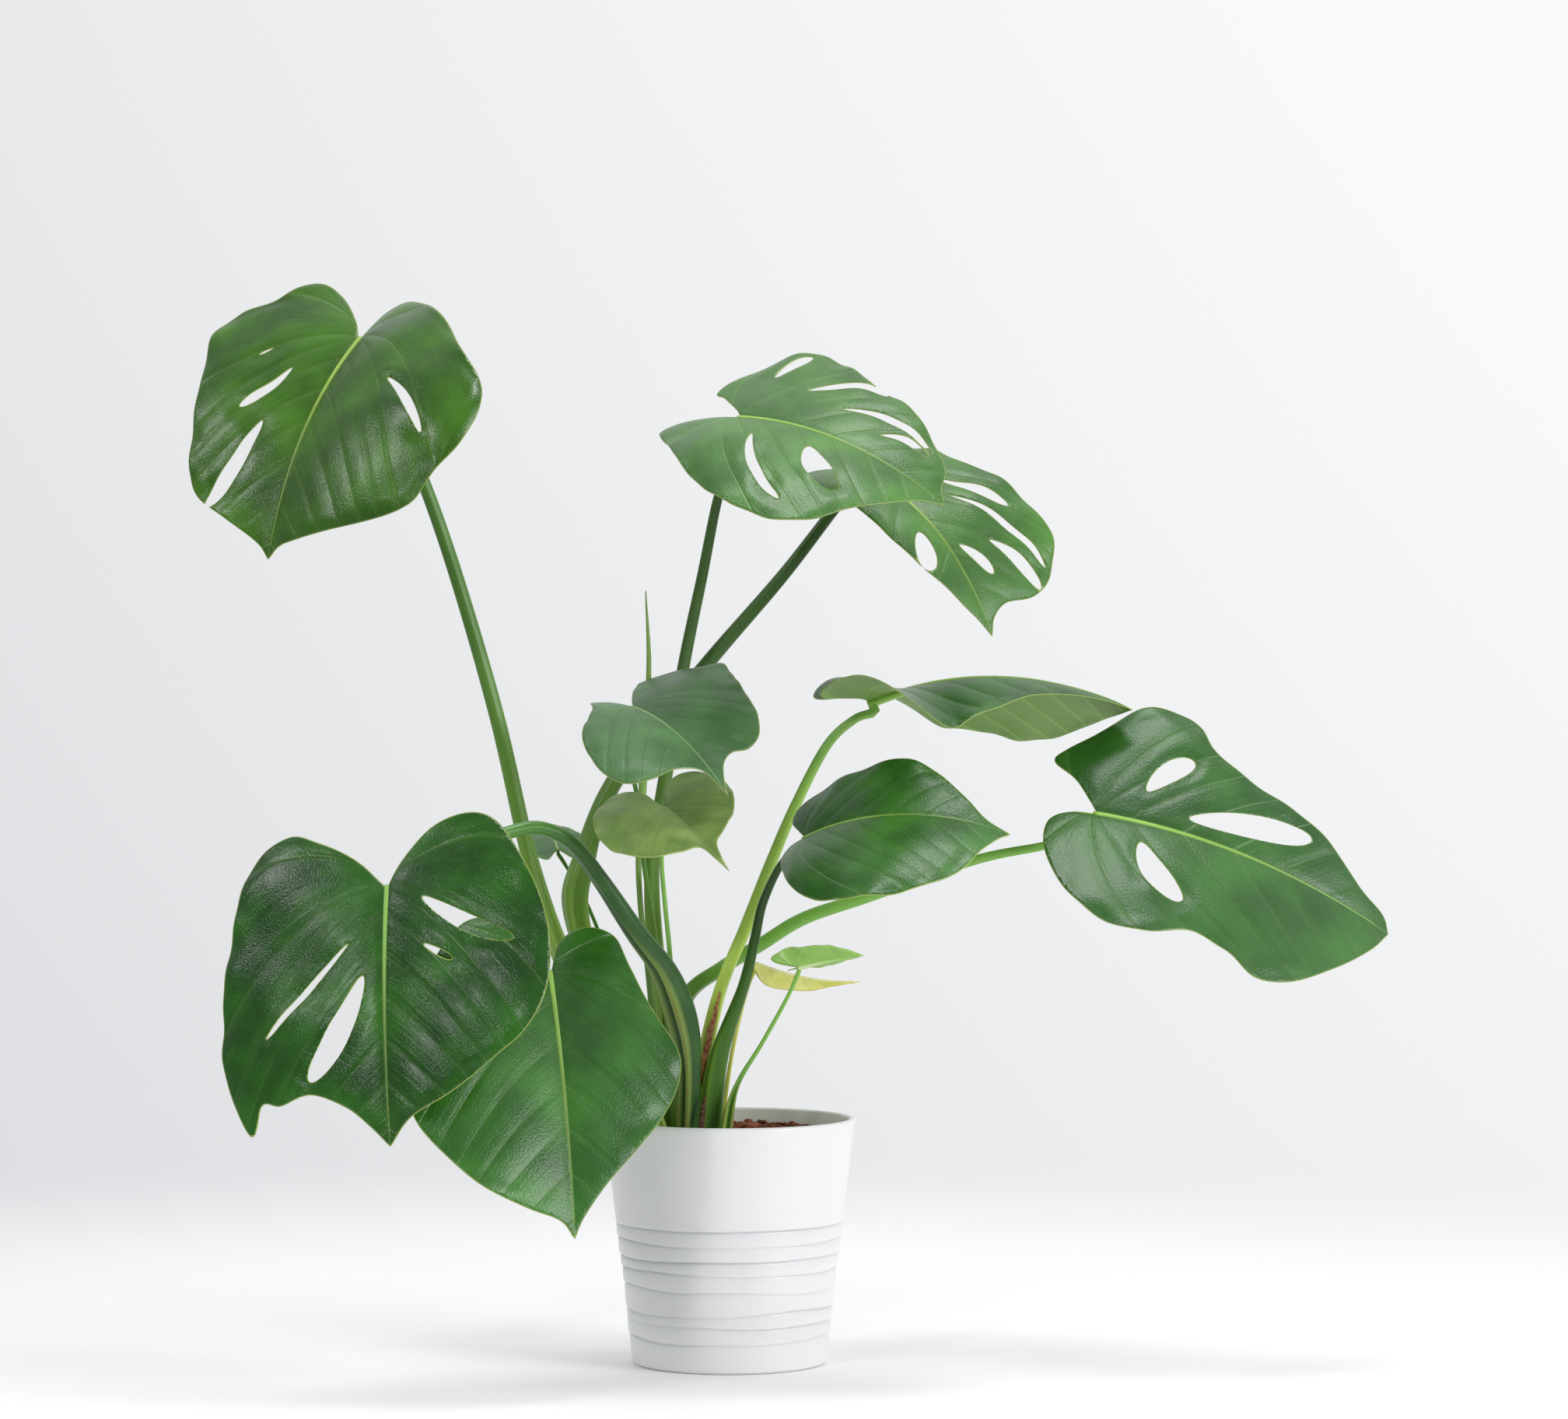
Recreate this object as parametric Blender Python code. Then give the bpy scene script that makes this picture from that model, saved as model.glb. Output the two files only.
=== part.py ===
"""A potted monstera: a ribbed ceramic cover pot, potting mix, stalks and thirteen leaf blades.

Metres, +Z up. The origin is the centre of the pot's base, on the surface that it stands on. The
front is -Y. A leaf blade is laid out flat in units of its own length, u along the midrib from the
stalk to the tip and v across it, positive on the leaf's left, and is then bent into place.
"""

import math
from collections import namedtuple

import bmesh
import bpy
import numpy as np
from mathutils import Vector, geometry

# Pot
POT_HEIGHT = 0.165
RIM_RADIUS = 0.085
FOOT_RADIUS = 0.0655
WALL = 0.0045
FLOOR = 0.007
RIM_ROUND = 0.0018
RIB_HEIGHTS = (0.022, 0.033, 0.041, 0.054, 0.067, 0.075, 0.087, 0.096)
RIB_DEPTH = 0.0009
POT_SIDES = 44

# Potting mix and what lies on it
SOIL_TOP = 0.152
SOIL_SIDES = 32
CHIP_THICKNESS = 0.004

# Leaves and stalks
GAP = 0.0003
BLADE = 0.0011
CELL = 0.019
KNEE_SHARE = 0.042
STALK_STEP = 0.022
SOIL_CLEAR = 0.0006

GREEN = (0.10, 0.24, 0.06)
DEEP_GREEN = (0.05, 0.15, 0.03)
GREY_GREEN = (0.13, 0.22, 0.10)
LIGHT_GREEN = (0.25, 0.45, 0.13)
YELLOW_GREEN = (0.60, 0.58, 0.25)

# at: where the stalk meets the blade. heading: compass direction of the midrib, 0 along +X, 90 along
# +Y. pitch: its rise there. roll: how far the left side is raised. droop: how far the midrib turns
# down by the tip. folds: how far each half rises from the midrib, at the lobes and further on.
# curls: how far the left and the right half turn down, for each leaf length across. In degrees.
# left, right: each half's outline from the stalk round the lobe to the tip, as (u, distance across).
# holes: (u, v) of the inner end, (u, v) of the outer end, width, bow of the middle line.
# route: the stalk from the mix upwards. radii: its radius at the foot, part way and at the blade.
Leaf = namedtuple(
    "Leaf", "name at length heading pitch roll droop folds curls left right holes route radii colour"
)

LEAVES = (
    Leaf(
        "high_left", (-0.246, -0.050, 0.687), 0.172, -129, -42, -5, 40, (16, 16), (40, 25),
        ((-0.15, 0.02), (-0.22, 0.12), (-0.09, 0.39), (0.07, 0.58), (0.20, 0.74), (0.32, 0.81),
         (0.48, 0.80), (0.66, 0.72), (0.77, 0.66), (0.85, 0.46), (0.92, 0.17), (0.95, 0.06)),
        ((-0.09, 0.07), (-0.21, 0.22), (-0.25, 0.38), (-0.12, 0.49), (-0.03, 0.60), (0.10, 0.64),
         (0.28, 0.57), (0.50, 0.50), (0.70, 0.43), (0.79, 0.37), (0.86, 0.22), (0.94, 0.06)),
        (((0.13, -0.32), (0.17, -0.36), 0.012, 0.0), ((0.21, -0.18), (0.42, -0.31), 0.045, 0.02),
         ((0.46, -0.19), (0.83, -0.32), 0.070, 0.02), ((0.25, 0.34), (0.48, 0.62), 0.035, 0.02)),
        ((-0.057, 0.027, 0), (-0.092, 0.034, 0.220), (-0.118, 0.030, 0.277), (-0.137, 0.025, 0.341),
         (-0.158, 0.020, 0.434), (-0.186, 0.015, 0.532), (-0.210, 0.004, 0.602),
         (-0.232, -0.018, 0.652)),
        (0.0058, 0.0054, 0.0040), GREEN,
    ),
    Leaf(
        "top", (0.007, 0.000, 0.639), 0.166, -34, -4, 25, 42, (8, 8), (15, 40),
        ((-0.05, 0.05), (-0.17, 0.15), (-0.24, 0.20), (-0.22, 0.32), (-0.16, 0.46), (-0.11, 0.55),
         (-0.03, 0.58), (0.08, 0.57), (0.25, 0.49), (0.40, 0.41), (0.54, 0.38), (0.66, 0.33),
         (0.80, 0.24), (0.90, 0.15), (0.94, 0.06)),
        ((-0.10, 0.02), (-0.26, 0.06), (-0.30, 0.16), (-0.15, 0.32), (0.06, 0.51), (0.28, 0.63),
         (0.46, 0.65), (0.58, 0.63), (0.69, 0.54), (0.76, 0.40), (0.84, 0.27), (0.92, 0.10)),
        (((-0.05, 0.36), (0.01, 0.55), 0.085, 0.0), ((0.17, 0.26), (0.47, 0.39), 0.055, 0.04),
         ((0.38, 0.18), (0.80, 0.20), 0.045, 0.05), ((0.59, 0.13), (0.80, 0.16), 0.045, 0.03),
         ((0.18, -0.19), (0.52, -0.53), 0.045, -0.05), ((0.42, -0.15), (0.66, -0.34), 0.110, -0.02)),
        ((-0.034, 0.038, 0), (-0.048, 0.033, 0.240), (-0.053, 0.030, 0.293), (-0.053, 0.030, 0.340),
         (-0.046, 0.031, 0.383), (-0.032, 0.035, 0.469), (-0.019, 0.034, 0.532),
         (-0.007, 0.022, 0.589)),
        (0.0050, 0.0050, 0.0028), GREEN,
    ),
    Leaf(
        "top_right", (0.089, 0.060, 0.605), 0.170, -50, -15, 15, 64, (5, 5), (10, 50),
        ((-0.10, 0.05), (-0.18, 0.17), (-0.12, 0.30), (0.02, 0.35), (0.14, 0.36), (0.26, 0.41),
         (0.40, 0.45), (0.54, 0.47), (0.68, 0.47), (0.78, 0.42), (0.86, 0.35), (0.90, 0.25),
         (0.89, 0.12), (0.93, 0.04)),
        ((-0.09, 0.05), (-0.17, 0.15), (-0.08, 0.23), (0.12, 0.25), (0.32, 0.22), (0.50, 0.21),
         (0.62, 0.18), (0.76, 0.12), (0.85, 0.08), (0.92, 0.04)),
        (((0.49, -0.08), (0.67, -0.15), 0.085, 0.0), ((0.60, 0.05), (0.76, 0.12), 0.050, 0.01),
         ((0.24, 0.21), (0.50, 0.37), 0.060, 0.0), ((0.36, 0.17), (0.80, 0.37), 0.035, 0.03),
         ((0.62, 0.19), (0.88, 0.30), 0.060, 0.02)),
        ((-0.048, 0.045, 0), (-0.082, 0.052, 0.220), (-0.107, 0.050, 0.298), (-0.101, 0.050, 0.338),
         (-0.078, 0.053, 0.394), (-0.018, 0.062, 0.470), (0.036, 0.068, 0.533),
         (0.074, 0.070, 0.582)),
        (0.0055, 0.0062, 0.0036), GREEN,
    ),
    Leaf(
        "small_centre", (-0.064, -0.050, 0.443), 0.122, -56, -10, 12, 40, (12, 12), (15, 45),
        ((-0.13, 0.08), (-0.27, 0.19), (-0.40, 0.34), (-0.38, 0.45), (-0.24, 0.56), (-0.10, 0.66),
         (0.05, 0.62), (0.24, 0.55), (0.50, 0.47), (0.68, 0.38), (0.75, 0.27), (0.74, 0.17),
         (0.79, 0.09), (0.90, 0.03)),
        ((-0.10, 0.01), (-0.22, 0.04), (-0.24, 0.12), (-0.04, 0.23), (0.10, 0.35), (0.27, 0.49),
         (0.47, 0.56), (0.63, 0.57), (0.75, 0.50), (0.78, 0.36), (0.76, 0.20), (0.79, 0.06),
         (0.90, 0.02)),
        (),
        ((-0.038, 0.010, 0), (-0.042, 0.014, 0.225), (-0.051, 0.014, 0.289), (-0.058, 0.008, 0.336),
         (-0.062, 0.000, 0.379), (-0.068, -0.024, 0.415)),
        (0.0022, 0.0018, 0.0015), GREY_GREEN,
    ),
    Leaf(
        "small_low", (-0.042, -0.060, 0.376), 0.092, -60, -20, 15, 12, (12, 12), (20, 40),
        ((-0.15, 0.06), (-0.28, 0.15), (-0.36, 0.30), (-0.31, 0.43), (-0.19, 0.49), (0.00, 0.50),
         (0.20, 0.46), (0.40, 0.35), (0.57, 0.18), (0.66, 0.08), (0.82, 0.03)),
        ((-0.10, 0.02), (-0.28, 0.02), (-0.38, 0.12), (-0.34, 0.28), (-0.23, 0.43), (-0.04, 0.56),
         (0.15, 0.62), (0.33, 0.62), (0.52, 0.55), (0.65, 0.40), (0.68, 0.22), (0.66, 0.06),
         (0.82, 0.02)),
        (),
        ((-0.033, 0.002, 0), (-0.039, -0.008, 0.261), (-0.043, -0.022, 0.310),
         (-0.045, -0.034, 0.342)),
        (0.0022, 0.0018, 0.0015), GREY_GREEN,
    ),
    Leaf(
        "right_flat", (0.095, 0.026, 0.447), 0.186, 2, 23, 0, 50, (31, -20), (45, 45),
        ((-0.03, 0.05), (-0.08, 0.10), (-0.14, 0.18), (-0.16, 0.26), (-0.09, 0.33), (0.08, 0.36),
         (0.28, 0.38), (0.48, 0.43), (0.68, 0.45), (0.84, 0.35), (0.95, 0.14)),
        ((-0.03, 0.05), (-0.08, 0.10), (-0.14, 0.17), (-0.15, 0.25), (-0.08, 0.31), (0.05, 0.34),
         (0.18, 0.37), (0.30, 0.36), (0.46, 0.27), (0.64, 0.15), (0.85, 0.05)),
        (),
        ((-0.022, 0.013, 0), (-0.017, 0.014, 0.197), (-0.006, 0.016, 0.251), (0.011, 0.018, 0.293),
         (0.027, 0.021, 0.334), (0.044, 0.024, 0.374), (0.066, 0.026, 0.416),
         (0.085, 0.026, 0.434)),
        (0.0038, 0.0044, 0.0028), GREEN,
    ),
    Leaf(
        "right_mid", (0.050, -0.050, 0.356), 0.146, -32, 24, 40, 58, (8, 8), (15, 25),
        ((-0.04, 0.06), (-0.09, 0.15), (-0.07, 0.23), (0.04, 0.29), (0.25, 0.34), (0.43, 0.37),
         (0.56, 0.33), (0.68, 0.23), (0.78, 0.13), (0.88, 0.04)),
        ((-0.07, 0.02), (-0.10, 0.10), (-0.06, 0.23), (0.04, 0.42), (0.16, 0.55), (0.32, 0.61),
         (0.50, 0.60), (0.68, 0.52), (0.82, 0.37), (0.89, 0.20), (0.95, 0.07)),
        (),
        ((-0.013, -0.003, 0), (-0.006, -0.005, 0.206), (0.010, -0.010, 0.256),
         (0.017, -0.013, 0.286), (0.023, -0.018, 0.312), (0.037, -0.036, 0.340)),
        (0.0070, 0.0040, 0.0021), DEEP_GREEN,
    ),
    Leaf(
        "far_right", (0.248, 0.000, 0.371), 0.218, -15, -9, 45, 40, (6, 6), (15, 15),
        ((-0.04, 0.05), (-0.10, 0.12), (-0.18, 0.18), (-0.15, 0.24), (-0.04, 0.37), (0.05, 0.45),
         (0.16, 0.46), (0.23, 0.42), (0.29, 0.35), (0.40, 0.29), (0.58, 0.24), (0.72, 0.18),
         (0.86, 0.09), (0.96, 0.05)),
        ((-0.08, 0.01), (-0.14, 0.07), (-0.11, 0.21), (0.00, 0.36), (0.14, 0.44), (0.27, 0.44),
         (0.39, 0.38), (0.50, 0.40), (0.61, 0.45), (0.73, 0.40), (0.85, 0.26), (0.95, 0.11)),
        (((0.13, 0.12), (0.24, 0.28), 0.070, 0.01), ((0.28, 0.06), (0.66, 0.16), 0.090, 0.0),
         ((0.16, -0.09), (0.33, -0.28), 0.085, -0.02)),
        ((-0.042, 0.023, 0), (-0.042, 0.023, 0.204), (-0.030, 0.025, 0.245), (-0.006, 0.031, 0.264),
         (0.021, 0.037, 0.280), (0.051, 0.038, 0.298), (0.095, 0.035, 0.313), (0.167, 0.027, 0.338),
         (0.214, 0.020, 0.348), (0.236, 0.010, 0.356)),
        (0.0052, 0.0046, 0.0024), GREEN,
    ),
    Leaf(
        "low_left", (-0.220, -0.140, 0.326), 0.172, -91, -62, 14, 22, (6, 6), (35, 35),
        ((-0.12, 0.07), (-0.23, 0.17), (-0.28, 0.31), (-0.24, 0.42), (-0.09, 0.52), (0.11, 0.61),
         (0.32, 0.64), (0.49, 0.61), (0.62, 0.53), (0.72, 0.40), (0.82, 0.25), (0.90, 0.09)),
        ((-0.12, 0.12), (-0.22, 0.28), (-0.27, 0.42), (-0.16, 0.57), (0.11, 0.64), (0.40, 0.67),
         (0.68, 0.66), (0.91, 0.56), (0.80, 0.50), (0.81, 0.42), (0.78, 0.30), (0.84, 0.16),
         (0.92, 0.07)),
        (((0.06, 0.15), (0.25, 0.50), 0.065, -0.02), ((0.25, 0.16), (0.32, 0.27), 0.025, 0.0),
         ((0.22, -0.14), (0.55, -0.47), 0.028, 0.0), ((0.35, -0.08), (0.73, -0.30), 0.090, 0.02)),
        ((-0.026, -0.013, 0), (-0.025, -0.014, 0.201), (-0.029, -0.018, 0.233),
         (-0.041, -0.026, 0.265), (-0.061, -0.038, 0.292), (-0.084, -0.050, 0.326),
         (-0.103, -0.062, 0.351), (-0.123, -0.074, 0.362), (-0.143, -0.086, 0.360),
         (-0.180, -0.108, 0.347), (-0.208, -0.124, 0.334)),
        (0.0060, 0.0058, 0.0033), DEEP_GREEN,
    ),
    Leaf(
        "low_centre", (-0.116, -0.100, 0.268), 0.186, -75, -55, -6, 15, (10, 10), (40, 40),
        ((-0.13, 0.05), (-0.19, 0.15), (-0.15, 0.26), (-0.02, 0.30), (0.13, 0.35), (0.27, 0.42),
         (0.40, 0.43), (0.54, 0.36), (0.66, 0.26), (0.80, 0.13), (0.92, 0.04)),
        ((-0.12, 0.04), (-0.21, 0.13), (-0.20, 0.28), (-0.07, 0.40), (0.11, 0.49), (0.30, 0.54),
         (0.47, 0.56), (0.60, 0.54), (0.72, 0.44), (0.83, 0.33), (0.90, 0.17), (0.94, 0.05)),
        (),
        ((-0.043, -0.032, 0), (-0.058, -0.042, 0.190), (-0.082, -0.056, 0.228),
         (-0.103, -0.080, 0.252)),
        (0.0042, 0.0036, 0.0030), GREEN,
    ),
    Leaf(
        "small_right", (0.0465, -0.018, 0.2676), 0.045, -6, 16, -28, 12, (28, 16), (10, 10),
        ((-0.08, 0.06), (-0.18, 0.12), (-0.15, 0.24), (0.05, 0.32), (0.40, 0.34), (0.75, 0.22)),
        ((-0.10, 0.06), (-0.28, 0.19), (-0.33, 0.31), (-0.15, 0.39), (0.10, 0.41), (0.45, 0.37),
         (0.75, 0.21)),
        (),
        ((-0.003, -0.014, 0), (0.004, -0.014, 0.185), (0.0225, -0.016, 0.217),
         (0.039, -0.018, 0.247)),
        (0.0024, 0.0015, 0.0013), LIGHT_GREEN,
    ),
    Leaf(
        "yellow", (0.0190, 0.010, 0.2690), 0.071, -4, -24, 0, -28, (-16, -66), (10, 10),
        ((-0.03, 0.06), (-0.02, 0.13), (0.12, 0.20), (0.34, 0.16), (0.55, 0.12), (0.72, 0.06), (0.86, 0.03)),
        ((-0.03, 0.06), (-0.02, 0.13), (0.12, 0.20), (0.34, 0.16), (0.55, 0.12), (0.72, 0.06), (0.86, 0.03)),
        (),
        ((-0.007, 0.018, 0), (0.001, 0.015, 0.204), (0.0105, 0.011, 0.246)),
        (0.0018, 0.0014, 0.0011), YELLOW_GREEN,
    ),
    Leaf(
        "behind", (-0.120, 0.080, 0.344), 0.046, 105, 32, 0, 20, (8, 8), (20, 20),
        ((-0.12, 0.08), (-0.28, 0.22), (-0.14, 0.42), (0.15, 0.48), (0.50, 0.38), (0.80, 0.16)),
        ((-0.12, 0.08), (-0.28, 0.22), (-0.14, 0.42), (0.15, 0.48), (0.50, 0.38), (0.80, 0.16)),
        (),
        ((-0.038, 0.054, 0), (-0.072, 0.066, 0.238), (-0.0925, 0.072, 0.290),
         (-0.1035, 0.078, 0.314), (-0.115, 0.083, 0.333)),
        (0.0018, 0.0014, 0.0012), DEEP_GREEN,
    ),
)

# Other stems: route from the mix upwards, and radii from foot to tip
STEMS = {
    "new_leaf_spike": (
        ((-0.046, 0.008, 0), (-0.054, 0.010, 0.250), (-0.060, 0.014, 0.300), (-0.062, 0.017, 0.341),
         (-0.059, 0.020, 0.394), (-0.055, 0.016, 0.463), (-0.057, 0.010, 0.521)),
        (0.0024, 0.0026, 0.0004), LIGHT_GREEN,
    ),
    "main_stem": (
        ((-0.057, 0.006, 0), (-0.064, 0.004, 0.172), (-0.079, 0.000, 0.205), (-0.091, -0.004, 0.230)),
        (0.0062, 0.0058, 0.0050), DEEP_GREEN,
    ),
    "aerial_root": (
        ((-0.019, -0.028, 0), (-0.0185, -0.026, 0.162), (-0.0175, -0.0235, 0.172),
         (-0.016, -0.0205, 0.182)),
        (0.0020, 0.0018, 0.0012), (0.12, 0.07, 0.05),
    ),
    "dry_sheath": (
        ((-0.012, 0.0105, 0), (-0.0085, 0.0105, 0.180), (-0.004, 0.0115, 0.206),
         (0.000, 0.0130, 0.232)),
        (0.0012, 0.0016, 0.0008), (0.30, 0.13, 0.07),
    ),
}

# Bark chips: middle, length, width and turn in degrees
CHIPS = (
    (-0.036, -0.050, 0.022, 0.011, 35),
    (0.040, -0.038, 0.016, 0.010, -35),
    (0.012, 0.050, 0.019, 0.012, 70),
)


def clear_scene():
    """Takes every object out of the scene."""
    for obj in list(bpy.data.objects):
        bpy.data.objects.remove(obj)


def add(name, data, colour, roughness):
    """Puts mesh or curve data into the scene as a named object with its own material."""
    obj = bpy.data.objects.new(name, data)
    bpy.context.scene.collection.objects.link(obj)
    material = bpy.data.materials.new(name)
    material.use_nodes = True
    surface = material.node_tree.nodes["Principled BSDF"]
    surface.inputs["Base Color"].default_value = (*colour, 1.0)
    surface.inputs["Roughness"].default_value = roughness
    data.materials.append(material)
    return obj


def mesh_from(bm, name):
    """Turns a bmesh into mesh data with its faces pointing out."""
    bmesh.ops.recalc_face_normals(bm, faces=bm.faces)
    mesh = bpy.data.meshes.new(name)
    bm.to_mesh(mesh)
    bm.free()
    return mesh


def smooth_line(points, steps):
    """Points along a smooth curve through the given ones, steps for each stretch."""
    points = np.asarray(points, float)
    padded = np.vstack([2 * points[0] - points[1], points, 2 * points[-1] - points[-2]])
    line = []
    for a, b, c, d in zip(padded, padded[1:], padded[2:], padded[3:]):
        for t in np.arange(steps) / steps:
            square = (2 * a - 5 * b + 4 * c - d) * t**2
            cube = (3 * b - a - 3 * c + d) * t**3
            line.append(0.5 * (2 * b + (c - a) * t + square + cube))
    return np.array(line + [points[-1]])


# Turned pieces


def turn(name, profile, sides, colour, roughness):
    """Turns a profile of (radius, height), which starts and ends on the axis, about Z."""
    bm = bmesh.new()
    verts = [bm.verts.new((radius, 0, height)) for radius, height in profile]
    edges = [bm.edges.new(pair) for pair in zip(verts, verts[1:])]
    bmesh.ops.spin(
        bm, geom=verts + edges, cent=(0, 0, 0), axis=(0, 0, 1), angle=math.tau, steps=sides, use_merge=True
    )
    bmesh.ops.remove_doubles(bm, verts=bm.verts, dist=0.00005)
    mesh = mesh_from(bm, name)
    mesh.shade_smooth()
    mesh.set_sharp_from_angle(angle=math.radians(35))
    return add(name, mesh, colour, roughness)


def outer_radius(height):
    """The pot's outer radius, which grows evenly from foot to rim."""
    return FOOT_RADIUS + (RIM_RADIUS - FOOT_RADIUS) * height / POT_HEIGHT


def make_pot():
    """The cover pot: a plain foot, ribs with a groove below each, a plain upper wall and a round rim."""
    profile = [(0, 0), (FOOT_RADIUS - 0.002, 0), (FOOT_RADIUS, 0.002)]
    for low, high in zip(RIB_HEIGHTS, RIB_HEIGHTS[1:]):
        profile.append((outer_radius(low) - RIB_DEPTH, low))
        profile.append((outer_radius((low + high) / 2), (low + high) / 2))
    profile.append((outer_radius(RIB_HEIGHTS[-1]) - RIB_DEPTH, RIB_HEIGHTS[-1]))
    profile.append((outer_radius(RIB_HEIGHTS[-1] + 0.004), RIB_HEIGHTS[-1] + 0.004))
    middle = RIM_RADIUS - WALL / 2
    for step in range(5):
        angle = math.pi * step / 4
        drop = RIM_ROUND * (1 - math.sin(angle))
        profile.append((middle + WALL / 2 * math.cos(angle), POT_HEIGHT - drop))
    profile += [(outer_radius(FLOOR) - WALL, FLOOR), (0, FLOOR)]
    return turn("pot", profile, POT_SIDES, (0.87, 0.87, 0.88), 0.35)


def make_soil():
    """The potting mix, which fills the pot to a little below its rim."""
    edge = WALL + 3 * GAP
    profile = [
        (0, FLOOR + GAP),
        (outer_radius(FLOOR) - edge, FLOOR + GAP),
        (outer_radius(SOIL_TOP) - edge, SOIL_TOP),
        (0, SOIL_TOP),
    ]
    return turn("soil", profile, SOIL_SIDES, (0.09, 0.05, 0.03), 0.9)


def make_chip(number, x, y, length, width, turned):
    """A flake of bark that lies on the mix."""
    bm = bmesh.new()
    bmesh.ops.create_cube(bm, size=1)
    bmesh.ops.subdivide_edges(bm, edges=bm.edges, cuts=1, use_grid_fill=True)
    for vert in bm.verts:
        across, along, up = vert.co
        squeeze = 1 - 2 * along**2 * (0.6 + across)
        thickness = CHIP_THICKNESS * (1 - 0.8 * across**2)
        vert.co = (across * length * squeeze, along * width, up * thickness)
    mesh = mesh_from(bm, f"bark_chip_{number}")
    obj = add(f"bark_chip_{number}", mesh, (0.16, 0.07, 0.04), 0.85)
    obj.location = (x, y, SOIL_TOP + GAP + CHIP_THICKNESS / 2)
    obj.rotation_euler.z = math.radians(turned)


# Blades


def turned_line(start, bend, distance):
    """How far along and how far up a line gets that starts at an angle and bends evenly."""
    bend = np.where(np.abs(bend) < 1e-4, 1e-4, bend)
    end = start + bend * distance
    return (np.sin(end) - np.sin(start)) / bend, (np.cos(start) - np.cos(end)) / bend


def leaf_axes(leaf):
    """The midrib's direction at the stalk, the way to the leaf's left, and the way up from its face."""
    heading, pitch, roll = np.radians((leaf.heading, leaf.pitch, leaf.roll))
    level = np.array((math.cos(heading), math.sin(heading), 0))
    along = level * math.cos(pitch) + (0, 0, math.sin(pitch))
    up = -level * math.sin(pitch) + (0, 0, math.cos(pitch))
    left = np.cross(up, along)
    return along, left * math.cos(roll) + up * math.sin(roll), up * math.cos(roll) - left * math.sin(roll)


def bent(leaf, flat):
    """Places in space of flat blade points (u, v)."""
    along, left, up = leaf_axes(leaf)
    u, v = np.asarray(flat, float).T
    droop = -math.radians(leaf.droop)
    forward, rise = turned_line(0.0, droop, u)
    middle = np.array(leaf.at) + leaf.length * (np.outer(forward, along) + np.outer(rise, up))
    face = np.outer(np.cos(droop * u), up) - np.outer(np.sin(droop * u), along)
    curl = -np.radians(np.where(v >= 0, *leaf.curls))
    past = np.clip((u + 0.1) / 0.4, 0, 1)
    lobe_fold, body_fold = np.radians(leaf.folds)
    fold = lobe_fold + (body_fold - lobe_fold) * past**2 * (3 - 2 * past)
    out, lift = turned_line(fold, curl, np.abs(v))
    return middle + leaf.length * (np.outer(np.sign(v) * out, left) + lift[:, None] * face)


def hole_outline(start, end, width, bow, points=10):
    """The outline of one hole: a long oval about a bowed line, fuller towards the margin."""
    start, end = np.array(start), np.array(end)
    side = np.array((start[1] - end[1], end[0] - start[0])) / np.linalg.norm(end - start)
    outline = []
    for step in range(points):
        turn_angle = -math.tau * step / points
        t = 0.5 - 0.5 * math.cos(turn_angle)
        half = 0.5 * width * math.sin(turn_angle) * (0.75 + 0.5 * t)
        outline.append(start + (end - start) * t + side * (half + 4 * bow * t * (1 - t)))
    return outline


def flat_blade(leaf):
    """The blade laid flat, as points (u, v) and triangles: its outline less its holes."""
    left = smooth_line([(0, 0), *leaf.left, (1, 0)], 2)
    right = smooth_line([(0, 0), *leaf.right, (1, 0)], 2) * (1, -1)
    loops = [np.vstack([right, left[-2:0:-1]])] + [np.array(hole_outline(*hole)) for hole in leaf.holes]
    edge_points = np.vstack(loops)
    cell = CELL / leaf.length
    grid = np.array(
        [(-0.4 + cell * (column + row % 2 / 2), cell * row) for row in range(-8, 9) for column in range(28)]
    )
    clear = np.linalg.norm(grid[:, None] - edge_points[None], axis=2).min(axis=1) > 0.45 * cell
    points = np.vstack([edge_points, grid[clear]])
    faces, first = [], 0
    for loop in loops:
        faces.append(list(range(first, first + len(loop))))
        first += len(loop)
    verts, _, triangles, _, _, owners = geometry.delaunay_2d_cdt(
        [Vector(point) for point in points], [], faces, 1, 1e-5, True
    )
    kept = [triangle for triangle, owner in zip(triangles, owners) if owner == [0]]
    return np.array([tuple(vert) for vert in verts]), kept


def make_blade(leaf):
    """A leaf blade of even thickness."""
    flat, triangles = flat_blade(leaf)
    bm = bmesh.new()
    verts = [bm.verts.new(place) for place in bent(leaf, flat)]
    for triangle in triangles:
        bm.faces.new([verts[corner] for corner in triangle])
    bmesh.ops.delete(bm, geom=[vert for vert in verts if not vert.link_faces], context="VERTS")
    mesh = mesh_from(bm, f"leaf_{leaf.name}")
    mesh.shade_smooth()
    obj = add(f"leaf_{leaf.name}", mesh, leaf.colour, 0.35)
    wall = obj.modifiers.new("thickness", "SOLIDIFY")
    wall.thickness = BLADE
    wall.offset = 0


# Stalks


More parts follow.
